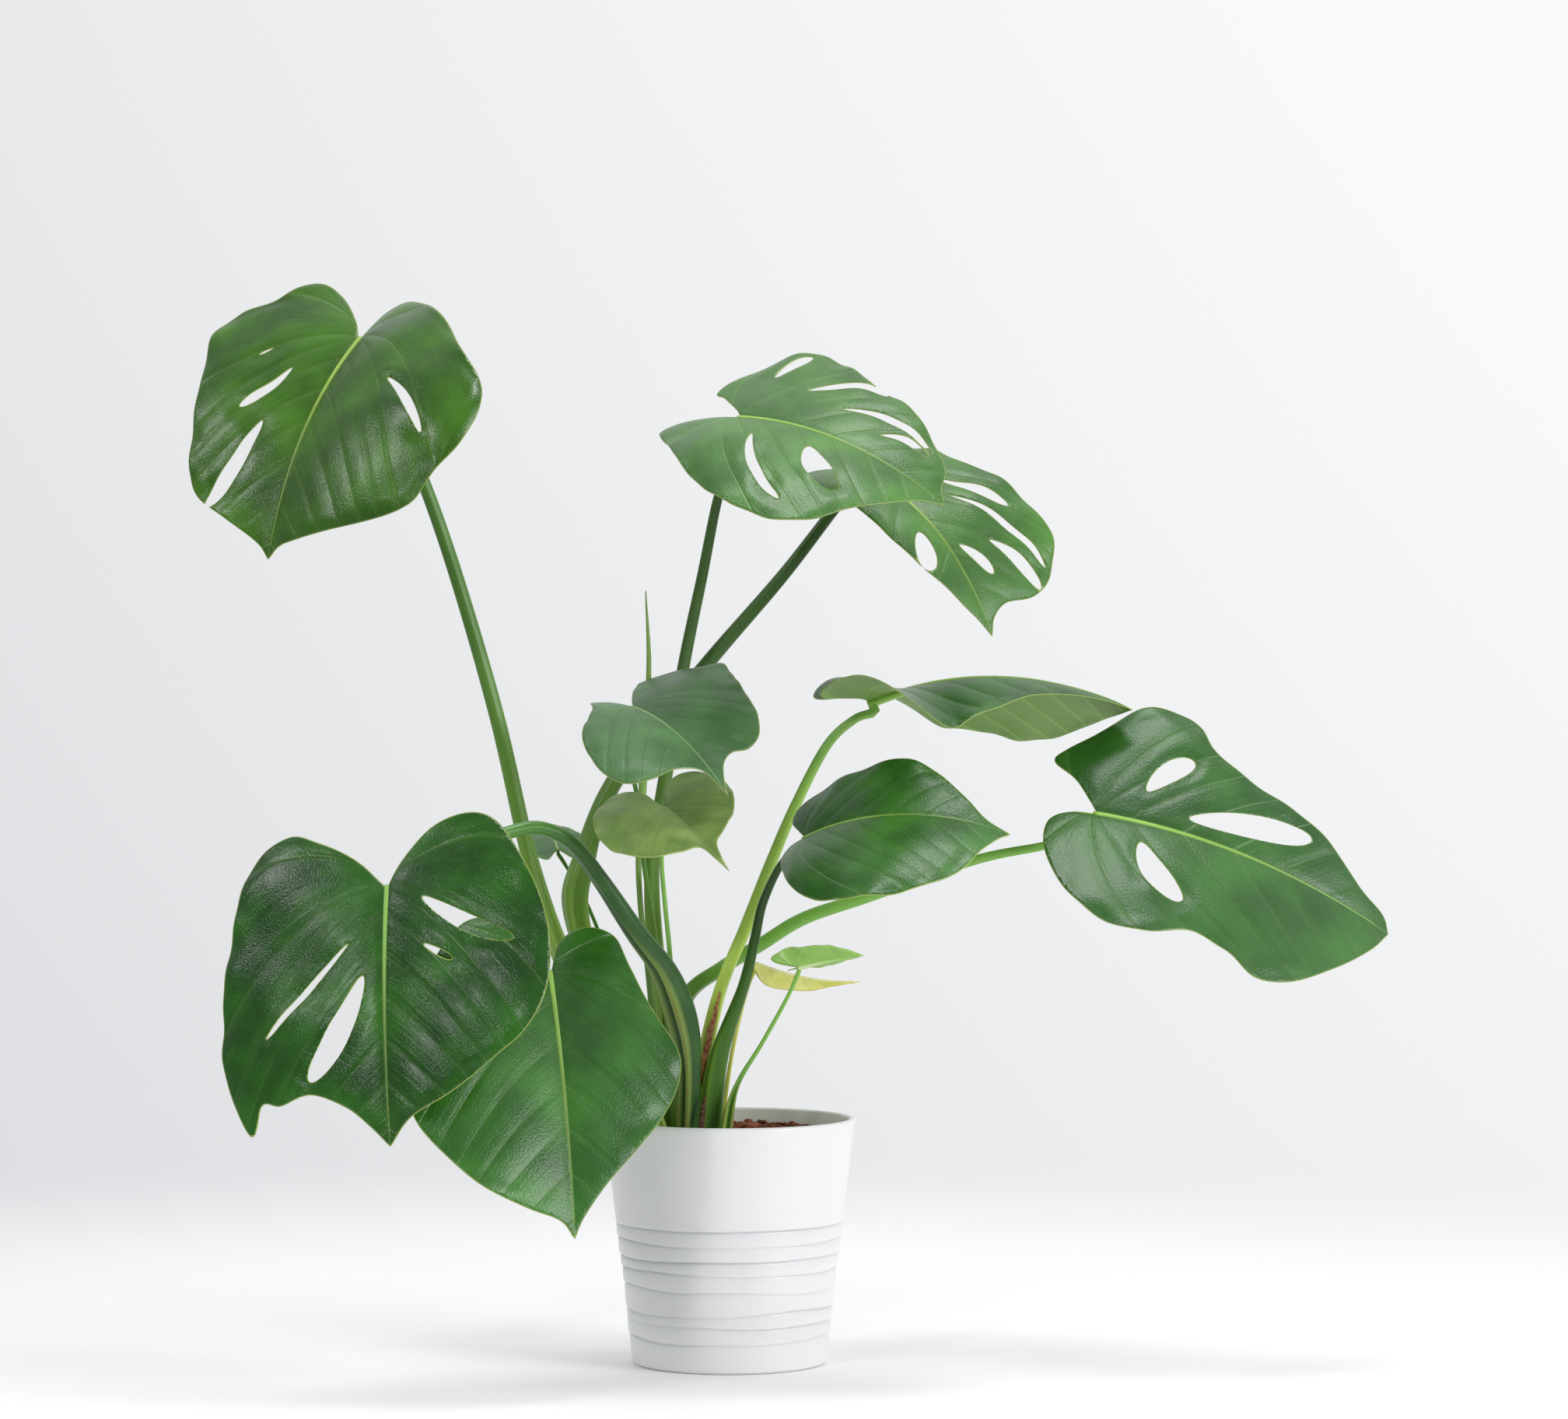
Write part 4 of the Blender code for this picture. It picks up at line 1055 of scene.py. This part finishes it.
def sweep(
    name: str, path: np.ndarray, section: Ring, sides: int,
    upward: Point = (0, 0, 1), wing: Ring | None = None,
) -> bpy.types.Mesh:
    """Draws a ring along a path, and closes it at both ends.

    Args:
        name: The mesh's name.
        path: The middle line's points.
        section: Gives the radii at a point's number for the angles of the ring, from the upper side.
        sides: How many points the ring has.
        upward: Which way the ring's upper side turns.
        wing: Gives the rim mark, 0 to 1, in the same way as section.

    Returns:
        The mesh, with its along and wing measures.
    """
    bm = bmesh.new()
    spoke = bm.verts.layers.int.new("spoke")
    along = bm.verts.layers.float.new("along")
    mark = bm.verts.layers.float.new("wing")
    ring = bmesh.ops.create_circle(bm, segments=sides, radius=1)["verts"]
    for number, vert in enumerate(ring):
        vert[spoke] = number
    edges = list(bm.edges)
    angles = math.tau * np.arange(sides) / sides
    ahead = np.gradient(path, axis=0)
    ahead /= np.linalg.norm(ahead, axis=1)[:, None]
    up = np.array(upward, float)
    for station, (middle, way) in enumerate(zip(path, ahead)):
        if station:
            grown = bmesh.ops.extrude_edge_only(bm, edges=edges)["geom"]
            ring = [part for part in grown if isinstance(part, bmesh.types.BMVert)]
            fresh = set(ring)
            edges = [
                part for part in grown if isinstance(part, bmesh.types.BMEdge) and set(part.verts) <= fresh
            ]
        up = up - way * (up @ way)
        up /= np.linalg.norm(up)
        side = np.cross(way, up)
        radii = section(station, angles)
        marks = wing(station, angles) if wing else np.zeros(sides)
        for vert in ring:
            number = vert[spoke]
            turn = up * math.cos(angles[number]) + side * math.sin(angles[number])
            vert.co = middle + turn * radii[number]
            vert[along] = station / (len(path) - 1)
            vert[mark] = marks[number]
    bmesh.ops.holes_fill(bm, edges=bm.edges, sides=0)
    return meshed(bm, name)


# Stalks


@dataclass(frozen=True)
class Sheath:
    """The folded wings on the lower part of a stalk.

    reach is where they end, as a part of the stalk's length; spread is how far their rims stand out, in
    stalk radii; facing is the compass direction that their open side turns to, in degrees. rims is how
    far round from the middle of that side they stand, thick how wide they are and hollow how wide the
    groove between them is, in radians.
    """

    reach: float = 0.30
    spread: float = 0.7
    facing: float = -90.0
    rims: float = 0.62
    thick: float = 0.36
    hollow: float = 0.30


@dataclass
class Stalk:
    """A leaf's stalk: a round stem with a sheath at its foot and a thicker knuckle below the blade.

    radii are at the foot, at waist of the way up and at the blade. knuckle is how much thicker it gets
    below the blade, centred bend below it. swell is where the sheath makes it fuller, over reach: a
    height, and how much is added there. bury is how far it goes into the mix.
    """

    name: str
    route: Sequence[Point]
    radii: Point
    finish: StalkFinish
    slot: str = "green_stalk"
    sheath: Sheath = field(default_factory=Sheath)
    knuckle: float = 0.22
    sides: int = 28
    step: float = 0.0035
    bury: float = 0.004
    waist: float = 0.45
    bend: float = 0.006
    reach: float = 0.030
    swell: Pair = (0.0, 0.0)

    def build(self) -> Piece:
        """Builds the stalk over its plain solid.

        Returns:
            The piece.
        """
        path = grown(self.route, self.bury, self.step)
        path[:3, 2] = np.linspace(path[0, 2], path[3, 2], 4)[:3]
        last = len(path) - 1
        share = np.arange(last + 1) / last
        size = np.interp(share, (0, self.waist, 1), self.radii)
        length = last * self.step
        if self.knuckle:
            size *= 1 + self.knuckle * np.exp(-((((1 - share) * length - self.bend) / self.bend) ** 2))
            size *= 1 - 0.5 * ease(0.004 / length, 0.0, 1 - share)
        level, fuller = self.swell
        size *= 1 + fuller * np.exp(-(((path[:, 2] - level) / self.reach) ** 2))
        size *= 1 - 0.25 * fuller * ease(level - 0.028, level - 0.034, path[:, 2])
        flesh = ease(self.sheath.reach, self.sheath.reach * 0.35, share)
        turn = math.radians(self.sheath.facing)

        def wings(station: int, angle: np.ndarray) -> np.ndarray:
            """Marks the sheath's two rims, either side of its open middle."""
            near = np.minimum(angle, math.tau - angle)
            return flesh[station] * np.exp(-(((near - self.sheath.rims) / self.sheath.thick) ** 2))

        def section(station: int, angle: np.ndarray) -> np.ndarray:
            """Gives the ring: round above, with a groove, and winged below."""
            near = np.minimum(angle, math.tau - angle)
            pressed = (0.10 + 0.25 * flesh[station]) * np.exp(-((near / self.sheath.hollow) ** 2))
            return size[station] * (1 - pressed + self.sheath.spread * wings(station, angle))

        way = (math.cos(turn), math.sin(turn), 0.2)
        title = self.name.replace("stalk", "petiole").replace("main_stem", "stump")
        mesh = sweep(title, path, section, self.sides, way, wings)
        return finished(title, mesh, [self.name])

    def dress(self, piece: Piece, looks: "Wardrobe") -> None:
        """Puts the finish on the stalk."""
        piece.data.materials.append(looks.made(self.finish))


@dataclass(frozen=True)
class Trim:
    """What one leaf's stalk wears."""

    finish: StalkFinish
    sheath: Sheath
    slot: str = "green_stalk"
    swell: Pair = (0.0, 0.0)


MIDDLE = StalkFinish("mid_green", foot=tint(120, 158, 62), upper=tint(70, 118, 40), wing=tint(150, 186, 84))
DARK = StalkFinish(
    "dark", foot=tint(118, 160, 60), upper=tint(50, 84, 34), wing=tint(150, 186, 84), dryness=0.2
)
DEEP = StalkFinish(
    "deep", foot=tint(70, 120, 26), upper=tint(38, 70, 22), wing=tint(130, 176, 54), dryness=0.2
)
PALE = StalkFinish(
    "pale", foot=tint(196, 224, 92), upper=tint(126, 180, 84), wing=tint(226, 240, 140), dryness=0.8,
    turns=(0.15, 0.95),
)
FRESH = StalkFinish(
    "fresh", foot=tint(96, 146, 50), upper=tint(134, 190, 84), wing=tint(190, 216, 116), turns=(0.15, 0.5)
)
ARCH = StalkFinish(
    "arch", foot=tint(40, 84, 28), upper=tint(110, 170, 74), wing=tint(172, 194, 92), dryness=0.3,
    turns=(0.5, 0.85),
)
WAN = StalkFinish("wan", foot=tint(176, 184, 84), upper=tint(226, 226, 112), wing=tint(226, 226, 134))

TRIMS = {
    "high_left": Trim(MIDDLE, Sheath(0.42, 0.9, -60)),
    "top": Trim(DARK, Sheath(0.45, 0.7, -60)),
    "top_right": Trim(DARK, Sheath(0.52, 0.9, -70), swell=(0.318, 0.35)),
    "small_centre": Trim(MIDDLE, Sheath(0.3, 0.4, 0)),
    "small_low": Trim(FRESH, Sheath(0.3, 0.4, 0)),
    "right_flat": Trim(PALE, Sheath(0.42, 1.1, -100), "pale_stalk"),
    "right_mid": Trim(DEEP, Sheath(0.48, 0.7, 190)),
    "far_right": Trim(FRESH, Sheath(0.42, 0.8, 80)),
    "low_left": Trim(ARCH, Sheath(0.62, 0.8, 215), swell=(0.240, 0.34)),
    "low_centre": Trim(MIDDLE, Sheath(0.35, 0.5, -60)),
    "small_right": Trim(FRESH, Sheath(0.42, 1.7, -90), "pale_stalk"),
    "yellow": Trim(WAN, Sheath(0.25, 0.6, -90), "pale_stalk"),
    "behind": Trim(MIDDLE, Sheath(0.25, 0.4, -90)),
}

STUMP_ROUTE = ((-0.057, 0.006, 0), (-0.064, 0.004, 0.172), (-0.079, 0.000, 0.205), (-0.091, -0.004, 0.230))
STUMP_RADII = (0.0062, 0.0058, 0.0050)


# Pot and mix


@dataclass
class Pot:
    """The cover pot: a bare foot ring, uneven ribs, a plain upper wall and a round rim.

    foot holds the (way in from the foot's radius, height) of the ring that it stands on. ribbed are the
    heights between which the wall is cut into rows, and plain where the plain wall starts. grooves
    holds (height, depth, drift, turns, start) of each groove: it rises and falls by drift as it goes
    round, the given number of times. ledge and slope are how far it reaches above and below. sway is
    how far the ribbed wall is out of round. skin is how near the outer radius counts as outside.
    """

    foot_radius: float = 0.0655
    foot: tuple[Pair, ...] = ((0.009, 0.0016), (0.0075, 0.0), (0.0022, 0.0), (0.0007, 0.0005))
    ribbed: Pair = (0.0018, 0.106)
    rows: int = 236
    plain: float = 0.112
    wall: float = 0.0045
    floor: float = 0.007
    lip: float = 0.0018
    sides: int = 240
    ledge: float = 0.0006
    slope: float = 0.0042
    sway: float = 0.00035
    skin: float = 0.0004
    finish: GlazeFinish = field(default_factory=GlazeFinish)
    grooves: tuple = (
        (0.0955, 0.0011, 0.0004, 1, 0.4), (0.0850, 0.0011, 0.0008, 2, 1.1), (0.0740, 0.0012, 0.0007, 1, 2.3),
        (0.0655, 0.0012, 0.0012, 2, 0.2), (0.0530, 0.0012, 0.0020, 1, 4.4), (0.0385, 0.0012, 0.0016, 2, 3.0),
        (0.0310, 0.0010, 0.0014, 1, 5.6), (0.0195, 0.0011, 0.0010, 2, 1.9),
    )

    def __post_init__(self) -> None:
        """Takes the height and the rim from the frame."""
        low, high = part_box("pot")
        self.height = high[2] - low[2]
        self.rim_radius = (high[0] - low[0]) / 2

    def outer(self, height: np.ndarray | float) -> np.ndarray | float:
        """Gives the plain outer radius at a height."""
        return self.foot_radius + (self.rim_radius - self.foot_radius) * height / self.height

    def groove(self, height: float, angle: float) -> float:
        """Gives how deep the wall is pressed in, in metres, at a height and an angle round the pot."""
        pressed = 0.0
        for level, depth, drift, turns, start in self.grooves:
            at = level + drift * math.sin(turns * angle + start)
            at += 0.35 * drift * math.sin(5 * angle + 2 * start)
            weight = depth * (1 + 0.45 * math.sin(turns * angle + 7 * start))
            gap = height - at
            if gap > 0:
                pressed += weight * math.exp(-((gap / self.ledge) ** 2))
            else:
                pressed += weight * (0.55 * math.exp(gap / self.slope) + 0.45 * math.exp(gap / self.ledge))
        return pressed

    def build(self) -> Piece:
        """Builds the pot by turning its profile, then presses the grooves.

        Returns:
            The piece.
        """
        profile = [(0.0, self.foot[0][1])]
        profile += [(self.foot_radius - inward, height) for inward, height in self.foot]
        profile += [(self.outer(z), z) for z in np.linspace(*self.ribbed, self.rows)]
        profile += [(self.outer(z), z) for z in np.linspace(self.plain, self.height - 0.0062, 8)]
        middle = self.rim_radius - self.wall / 2
        for angle in np.linspace(0, math.pi, 13):
            drop = self.lip * (1 - math.sin(angle))
            profile.append((middle + self.wall / 2 * math.cos(angle), self.height - drop))
        inside = np.linspace(self.height - 0.006, self.floor, 12)
        profile += [(self.outer(z) - self.wall, z) for z in inside]
        profile.append((0.0, self.floor))
        bm = turned(profile, self.sides)
        mark = bm.verts.layers.float.new("groove")
        for vert in bm.verts:
            radius = math.hypot(vert.co.x, vert.co.y)
            if radius < self.outer(vert.co.z) - self.skin or not 0.001 < vert.co.z < 0.108:
                continue
            angle = math.atan2(vert.co.y, vert.co.x)
            pressed = self.groove(vert.co.z, angle)
            swell = self.sway * math.sin(2 * angle + 90 * vert.co.z)
            swell *= ease(0.012, 0.024, vert.co.z) * ease(0.1, 0.092, vert.co.z)
            keep = 1 - (pressed - swell) / radius
            vert.co.x *= keep
            vert.co.y *= keep
            # The groove mark is the pressed depth, which the glaze also uses to paint shade into the
            # grooves.
            vert[mark] = min(pressed / 0.0012, 1.0)
        mesh = meshed(bm, "cover_pot")
        mesh.set_sharp_from_angle(angle=math.radians(60))
        return finished("cover_pot", mesh, ["pot"])

    def dress(self, piece: Piece, looks: "Wardrobe") -> None:
        """Glazes the pot."""
        piece.data.materials.append(self.finish.material())


@dataclass
class Planting:
    """The mix in the pot, with crumbs, white grit and bark on it.

    crumbs and grit are how many there are and the smallest and the largest, in metres across. chips
    are the bark chips' numbers, and rough is how high the mix is heaped at random.
    """

    rings: int = 56
    sides: int = 120
    crumbs: tuple[int, Pair] = (420, (0.0016, 0.0058))
    grit: tuple[int, Pair] = (46, (0.0014, 0.0032))
    chips: tuple[int, ...] = (1, 2, 3)
    rough: float = 0.0016
    dark: EarthFinish = EarthFinish("mix", tint(58, 28, 18), tint(132, 72, 46), relief=0.002)
    crumb: EarthFinish = EarthFinish("crumb", tint(78, 38, 26), tint(150, 84, 54), scale=420.0)
    white: EarthFinish = EarthFinish("grit", tint(186, 180, 168), tint(226, 222, 212), roughness=0.8)
    bark: EarthFinish = EarthFinish("bark", tint(92, 46, 32), tint(166, 100, 70), scale=300.0)

    def __post_init__(self) -> None:
        """Takes the top and the width from the frame."""
        low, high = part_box("soil")
        self.top = high[2]
        self.radius = (high[0] - low[0]) / 2

    def heave(self, x: float, y: float) -> float:
        """Gives how far the mix stands above or below its level at a place."""
        where = Vector((x * 60, y * 60, 0.3))
        back = 0.0030 * ease(0.030, 0.062, y)
        crown = 0.0022 * math.exp(-((x + 0.03) ** 2 + (y - 0.01) ** 2) / 0.0012)
        rough = self.rough * noise.fractal(where, 0.7, 2.2, 4) + 0.0007 * noise.noise(where * 6)
        return 0.0004 + back + crown + rough

    def bed(self) -> Piece:
        """Builds the mix: a turned block whose top is rough.

        Returns:
            The piece.
        """
        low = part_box("soil")[0][2]
        profile = [(0.0, low), (self.radius * 0.80, low), (self.radius, self.top - 0.0025)]
        profile += [(self.radius * share, self.top) for share in np.linspace(0.985, 0, self.rings)]
        bm = turned(profile, self.sides)
        for vert in bm.verts:
            if vert.co.z > self.top - SEAM:
                vert.co.z += self.heave(vert.co.x, vert.co.y)
        return finished("mix", meshed(bm, "mix"), ["soil"])

    def strew(self, name: str, count: int, sizes: Pair, seed: int) -> Piece:
        """Strews lumps over the mix, clear of the pot.

        Args:
            name: The piece's name.
            count: How many lumps there are.
            sizes: The smallest and the largest, in metres across.
            seed: What fixes their places.

        Returns:
            The piece.
        """
        dice = random.Random(seed)
        bm = bmesh.new()
        for _ in range(count):
            reach = (self.radius - 0.004) * math.sqrt(dice.random())
            turn = dice.uniform(0, math.tau)
            x, y = reach * math.cos(turn), reach * math.sin(turn)
            size = dice.uniform(*sizes) * dice.uniform(0.6, 1.0)
            lump = bmesh.ops.create_icosphere(bm, subdivisions=2, radius=size / 2)["verts"]
            stretch = Vector((dice.uniform(0.7, 1.5), dice.uniform(0.7, 1.1), dice.uniform(0.45, 0.8)))
            spot = Vector((x, y, self.top + self.heave(x, y) + size * 0.16))
            spin = dice.uniform(0, math.tau)
            cos, sin = math.cos(spin), math.sin(spin)
            for vert in lump:
                rough = 1 + 0.45 * noise.noise(vert.co / size * 3.0 + spot * 500)
                x, y, z = Vector(part * wide for part, wide in zip(vert.co * rough, stretch))
                vert.co = spot + Vector((x * cos - y * sin, x * sin + y * cos, z))
        return finished(name, meshed(bm, name), [])

    def chip(self, number: int) -> Piece:
        """Builds a flake of bark from its plain solid, with layered, broken faces.

        Args:
            number: Which chip it is.

        Returns:
            The piece.
        """
        node = f"bark_chip_{number}"
        bm = bmesh.new()
        bm.from_mesh(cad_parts[node].data)
        bmesh.ops.remove_doubles(bm, verts=bm.verts, dist=0.00005)
        bmesh.ops.subdivide_edges(bm, edges=bm.edges, cuts=5, use_grid_fill=True, smooth=0.4)
        for vert in bm.verts:
            layer = noise.noise(Vector((vert.co.x * 300, vert.co.y * 300, vert.co.z * 1500)))
            vert.co += vert.normal * 0.0008 * layer
        return finished(f"flake_{number}", meshed(bm, f"flake_{number}"), [node])

    def build(self) -> dict[str, Piece]:
        """Builds everything that lies in the pot.

        Returns:
            The pieces by name.
        """
        pieces = {"mix": self.bed(), "crumbs": self.strew("crumbs", *self.crumbs, 4)}
        pieces["grit"] = self.strew("grit", *self.grit, 9)
        return pieces | {f"flake_{number}": self.chip(number) for number in self.chips}

    def dress(self, pieces: dict[str, Piece], looks: "Wardrobe") -> None:
        """Puts the finishes on.

        Args:
            pieces: The pieces by name.
            looks: The materials.
        """
        for name, finish in (("mix", self.dark), ("crumbs", self.crumb), ("grit", self.white)):
            pieces[name].data.materials.append(finish.material())
        for number in self.chips:
            data = pieces[f"flake_{number}"].data
            data.materials.clear()
            data.materials.append(looks.made(self.bark))


# Smaller growth


@dataclass
class Spike:
    """A leaf that is still rolled up: a long point with its rolled edge winding round it."""

    route: tuple = (
        (-0.046, 0.008, 0), (-0.054, 0.010, 0.250), (-0.060, 0.014, 0.300), (-0.062, 0.017, 0.341),
        (-0.059, 0.020, 0.394), (-0.055, 0.016, 0.463), (-0.057, 0.010, 0.521),
    )
    radii: tuple[float, ...] = (0.0025, 0.0020, 0.0028, 0.0004)
    winds: float = 2.2
    finish: StalkFinish = StalkFinish("rolled", tint(86, 122, 58), tint(134, 168, 84), tint(160, 190, 110))

    def build(self) -> Piece:
        """Builds the spike over its plain solid.

        Returns:
            The piece.
        """
        path = grown(self.route, 0.004, 0.003)
        share = np.linspace(0, 1, len(path))
        size = np.interp(share, (0, 0.45, 0.72, 1), self.radii)
        rolled = ease(0.50, 0.62, share)

        def section(station: int, angle: np.ndarray) -> np.ndarray:
            """Gives the ring, with the rolled edge as a step that winds round."""
            turned = (angle + math.tau * self.winds * share[station]) % math.tau
            return size[station] * (1 + 0.28 * rolled[station] * (1 - turned / math.tau) - 0.05)

        mesh = sweep("rolled_leaf", path, section, 24)
        return finished("rolled_leaf", mesh, ["new_leaf_spike"])

    def dress(self, piece: Piece, looks: "Wardrobe") -> None:
        """Puts the finish on."""
        piece.data.materials.append(looks.made(self.finish))


@dataclass(frozen=True)
class Strand:
    """A dry, knobbly strand that tapers to its end; flat, from 0 to 1, is how far it is pressed flat."""

    name: str
    nodes: tuple[str, ...]
    route: tuple
    size: float
    flat: float
    slot: str
    finish: EarthFinish

    def build(self) -> Piece:
        """Builds the strand over its plain solid.

        Returns:
            The piece.
        """
        path = grown(self.route, 0.003, 0.0012)
        share = np.linspace(0, 1, len(path))

        def section(station: int, angle: np.ndarray) -> np.ndarray:
            """Gives a knobbly ring, pressed flat across."""
            knob = 1 + 0.14 * np.sin(5 * angle + 31 * share[station]) + 0.10 * math.sin(47 * share[station])
            thin = 1 - 0.55 * ease(0.6, 1.0, share[station])
            return self.size * knob * thin * (1 - self.flat * np.abs(np.cos(angle + 2 * share[station])))

        return finished(self.name, sweep(self.name, path, section, 16), self.nodes)

    def dress(self, piece: Piece, looks: "Wardrobe") -> None:
        """Puts the finish on."""
        piece.data.materials.append(looks.made(self.finish))


ROOT_SKIN = EarthFinish("root_skin", tint(60, 40, 30), tint(124, 90, 66), scale=500.0, roughness=0.7)
DRIED = EarthFinish("dried_sheath", tint(156, 84, 58), tint(214, 156, 116), scale=340.0, roughness=0.6)

STRANDS = (
    Strand(
        "root", ("aerial_root",),
        ((-0.019, -0.028, 0), (-0.0185, -0.026, 0.162), (-0.0175, -0.0235, 0.172), (-0.016, -0.0205, 0.182)),
        0.0019, 0.0, "bark", ROOT_SKIN,
    ),
    Strand(
        "dried_strip", ("dry_sheath",),
        ((-0.012, 0.0105, 0), (-0.0085, 0.0105, 0.180), (-0.004, 0.0115, 0.206), (0.000, 0.0130, 0.232)),
        0.0014, 0.62, "dry_sheath", DRIED,
    ),
    Strand(
        "dried_peel", (),
        ((-0.0205, 0.0095, 0.186), (-0.0168, 0.0078, 0.205), (-0.0118, 0.0078, 0.227),
         (-0.0068, 0.0100, 0.249)),
        0.0019, 0.62, "dry_sheath", DRIED,
    ),
)


class Wardrobe:
    """The materials that several pieces share, each made once."""

    def __init__(self) -> None:
        """Starts with nothing made."""
        self.blades: dict[Growth, list[Material]] = {}
        self.others: dict[str, Material] = {}

    def blade(self, growth: Growth) -> list[Material]:
        """Gives the top, back and edge materials for a blade of some growth."""
        if growth not in self.blades:
            finish = BLADE_FINISHES[growth]
            self.blades[growth] = [finish.top(), finish.under(), finish.margin()]
        return self.blades[growth]

    def rib(self, growth: Growth) -> Material:
        """Gives the material of a midrib."""
        finish = BLADE_FINISHES[growth]
        return self.made(StalkFinish(f"{finish.name}_rib", finish.vein, finish.back, finish.vein))

    def made(self, finish: StalkFinish | EarthFinish) -> Material:
        """Gives the material of a stalk's finish or a dull brown one."""
        if finish.name not in self.others:
            self.others[finish.name] = finish.material()
        return self.others[finish.name]


# Studio


@dataclass(frozen=True)
class Lamp:
    """A soft square light."""

    name: str
    at: Point
    towards: Point
    size: float
    power: float

    def build(self) -> None:
        """Puts the light up and turns it."""
        light = bpy.data.lights.new(self.name, "AREA")
        light.shape = "SQUARE"
        light.size = self.size
        light.energy = self.power
        lamp = bpy.data.objects.new(self.name, light)
        lamp.location = self.at
        lamp.rotation_euler = (Vector(self.towards) - Vector(self.at)).to_track_quat("-Z", "Y").to_euler()
        bpy.context.scene.collection.objects.link(lamp)


@dataclass
class Studio:
    """A pale floor, soft light all round and a long lens in front."""

    eye: Point = (0.0368, -3.15, 0.4406)
    lens: float = 107.0
    sensor: float = 36.0
    floor: BackdropFinish = field(default_factory=BackdropFinish)
    floor_radius: float = 1.7
    bright_side: Point = (0.62, 0.62, 0.48)
    sky: tuple[tuple[float, Colour], ...] = (
        (0.10, (0.34, 0.345, 0.355)), (0.45, (0.42, 0.425, 0.44)),
        (0.74, (0.74, 0.75, 0.77)), (0.88, (0.95, 0.955, 0.96)),
    )
    lamps: tuple[Lamp, ...] = (
        Lamp("window", (2.1, -1.5, 1.25), (0.0, 0.0, 0.35), 1.1, 34.0),
        Lamp("overhead", (0.25, 0.0, 2.4), (0.1, 0.0, 0.3), 0.6, 13.0),
        Lamp("front_left", (-1.25, -2.1, 1.45), (0.0, 0.0, 0.35), 0.34, 10.0),
        Lamp("left", (-1.9, -0.5, 1.9), (-0.1, 0.0, 0.45), 0.4, 8.0),
    )

    def build(self) -> None:
        """Builds the floor, the light around, the lamps and the camera."""
        bm = bmesh.new()
        bmesh.ops.create_circle(bm, cap_ends=True, cap_tris=True, segments=96, radius=self.floor_radius)
        floor = bpy.data.objects.new("floor", meshed(bm, "floor"))
        bpy.context.scene.collection.objects.link(floor)
        floor.data.materials.append(self.floor.material())
        for lamp in self.lamps:
            lamp.build()
        self.surround()
        camera = bpy.data.cameras.new("camera")
        camera.lens = self.lens
        camera.sensor_width = self.sensor
        viewer = bpy.data.objects.new("camera", camera)
        viewer.location = self.eye
        viewer.rotation_euler = (math.pi / 2, 0, 0)
        bpy.context.scene.collection.objects.link(viewer)
        bpy.context.scene.camera = viewer
        bpy.context.scene.view_settings.view_transform = "Standard"

    def surround(self) -> None:
        """Lights the room evenly: white to the right and above, a little greyer low on the left."""
        world = bpy.data.worlds.new("soft_room")
        world.use_nodes = True
        tree = world.node_tree
        back = tree.nodes["Background"]
        place = tree.nodes.new("ShaderNodeTexCoord")
        tilt = tree.nodes.new("ShaderNodeVectorMath")
        tilt.operation = "DOT_PRODUCT"
        tilt.inputs[1].default_value = self.bright_side
        ramp = tree.nodes.new("ShaderNodeValToRGB")
        stops = ramp.color_ramp.elements
        stops.new(0.5)
        stops.new(0.75)
        for stop, (spot, colour) in zip(stops, self.sky):
            stop.position = spot
            stop.color = (*colour, 1.0)
        shift = tree.nodes.new("ShaderNodeMath")
        shift.operation = "MULTIPLY_ADD"
        shift.inputs[1].default_value = 0.5
        shift.inputs[2].default_value = 0.5
        tree.links.new(place.outputs["Generated"], tilt.inputs[0])
        tree.links.new(tilt.outputs["Value"], shift.inputs[0])
        tree.links.new(shift.outputs[0], ramp.inputs[0])
        tree.links.new(ramp.outputs[0], back.inputs[0])
        bpy.context.scene.world = world


def main() -> None:
    """Builds the plant from the pot up."""
    logging.basicConfig(level=logging.INFO, format="%(name)s: %(message)s")
    looks = Wardrobe()
    for part in (Pot(), Planting(), Spike(), *STRANDS):
        part.dress(part.build(), looks)
        LOG.info("built %s", type(part).__name__)
    for leaf in LEAVES:
        trim = TRIMS[leaf.name]
        route = leaf.stalk_route()
        stalk = Stalk(
            f"stalk_{leaf.name}", route, leaf.radii, trim.finish, trim.slot, trim.sheath, swell=trim.swell
        )
        stalk.dress(stalk.build(), looks)
        blade = Blade(leaf)
        blade.dress(blade.build(), blade.rib(), looks)
        LOG.info("built leaf %s", leaf.name)
    stump = Stalk("main_stem", STUMP_ROUTE, STUMP_RADII, MIDDLE, sheath=Sheath(0.5, 0.2), knuckle=0)
    stump.dress(stump.build(), looks)
    Studio().build()


if __name__ == "__main__":
    main()
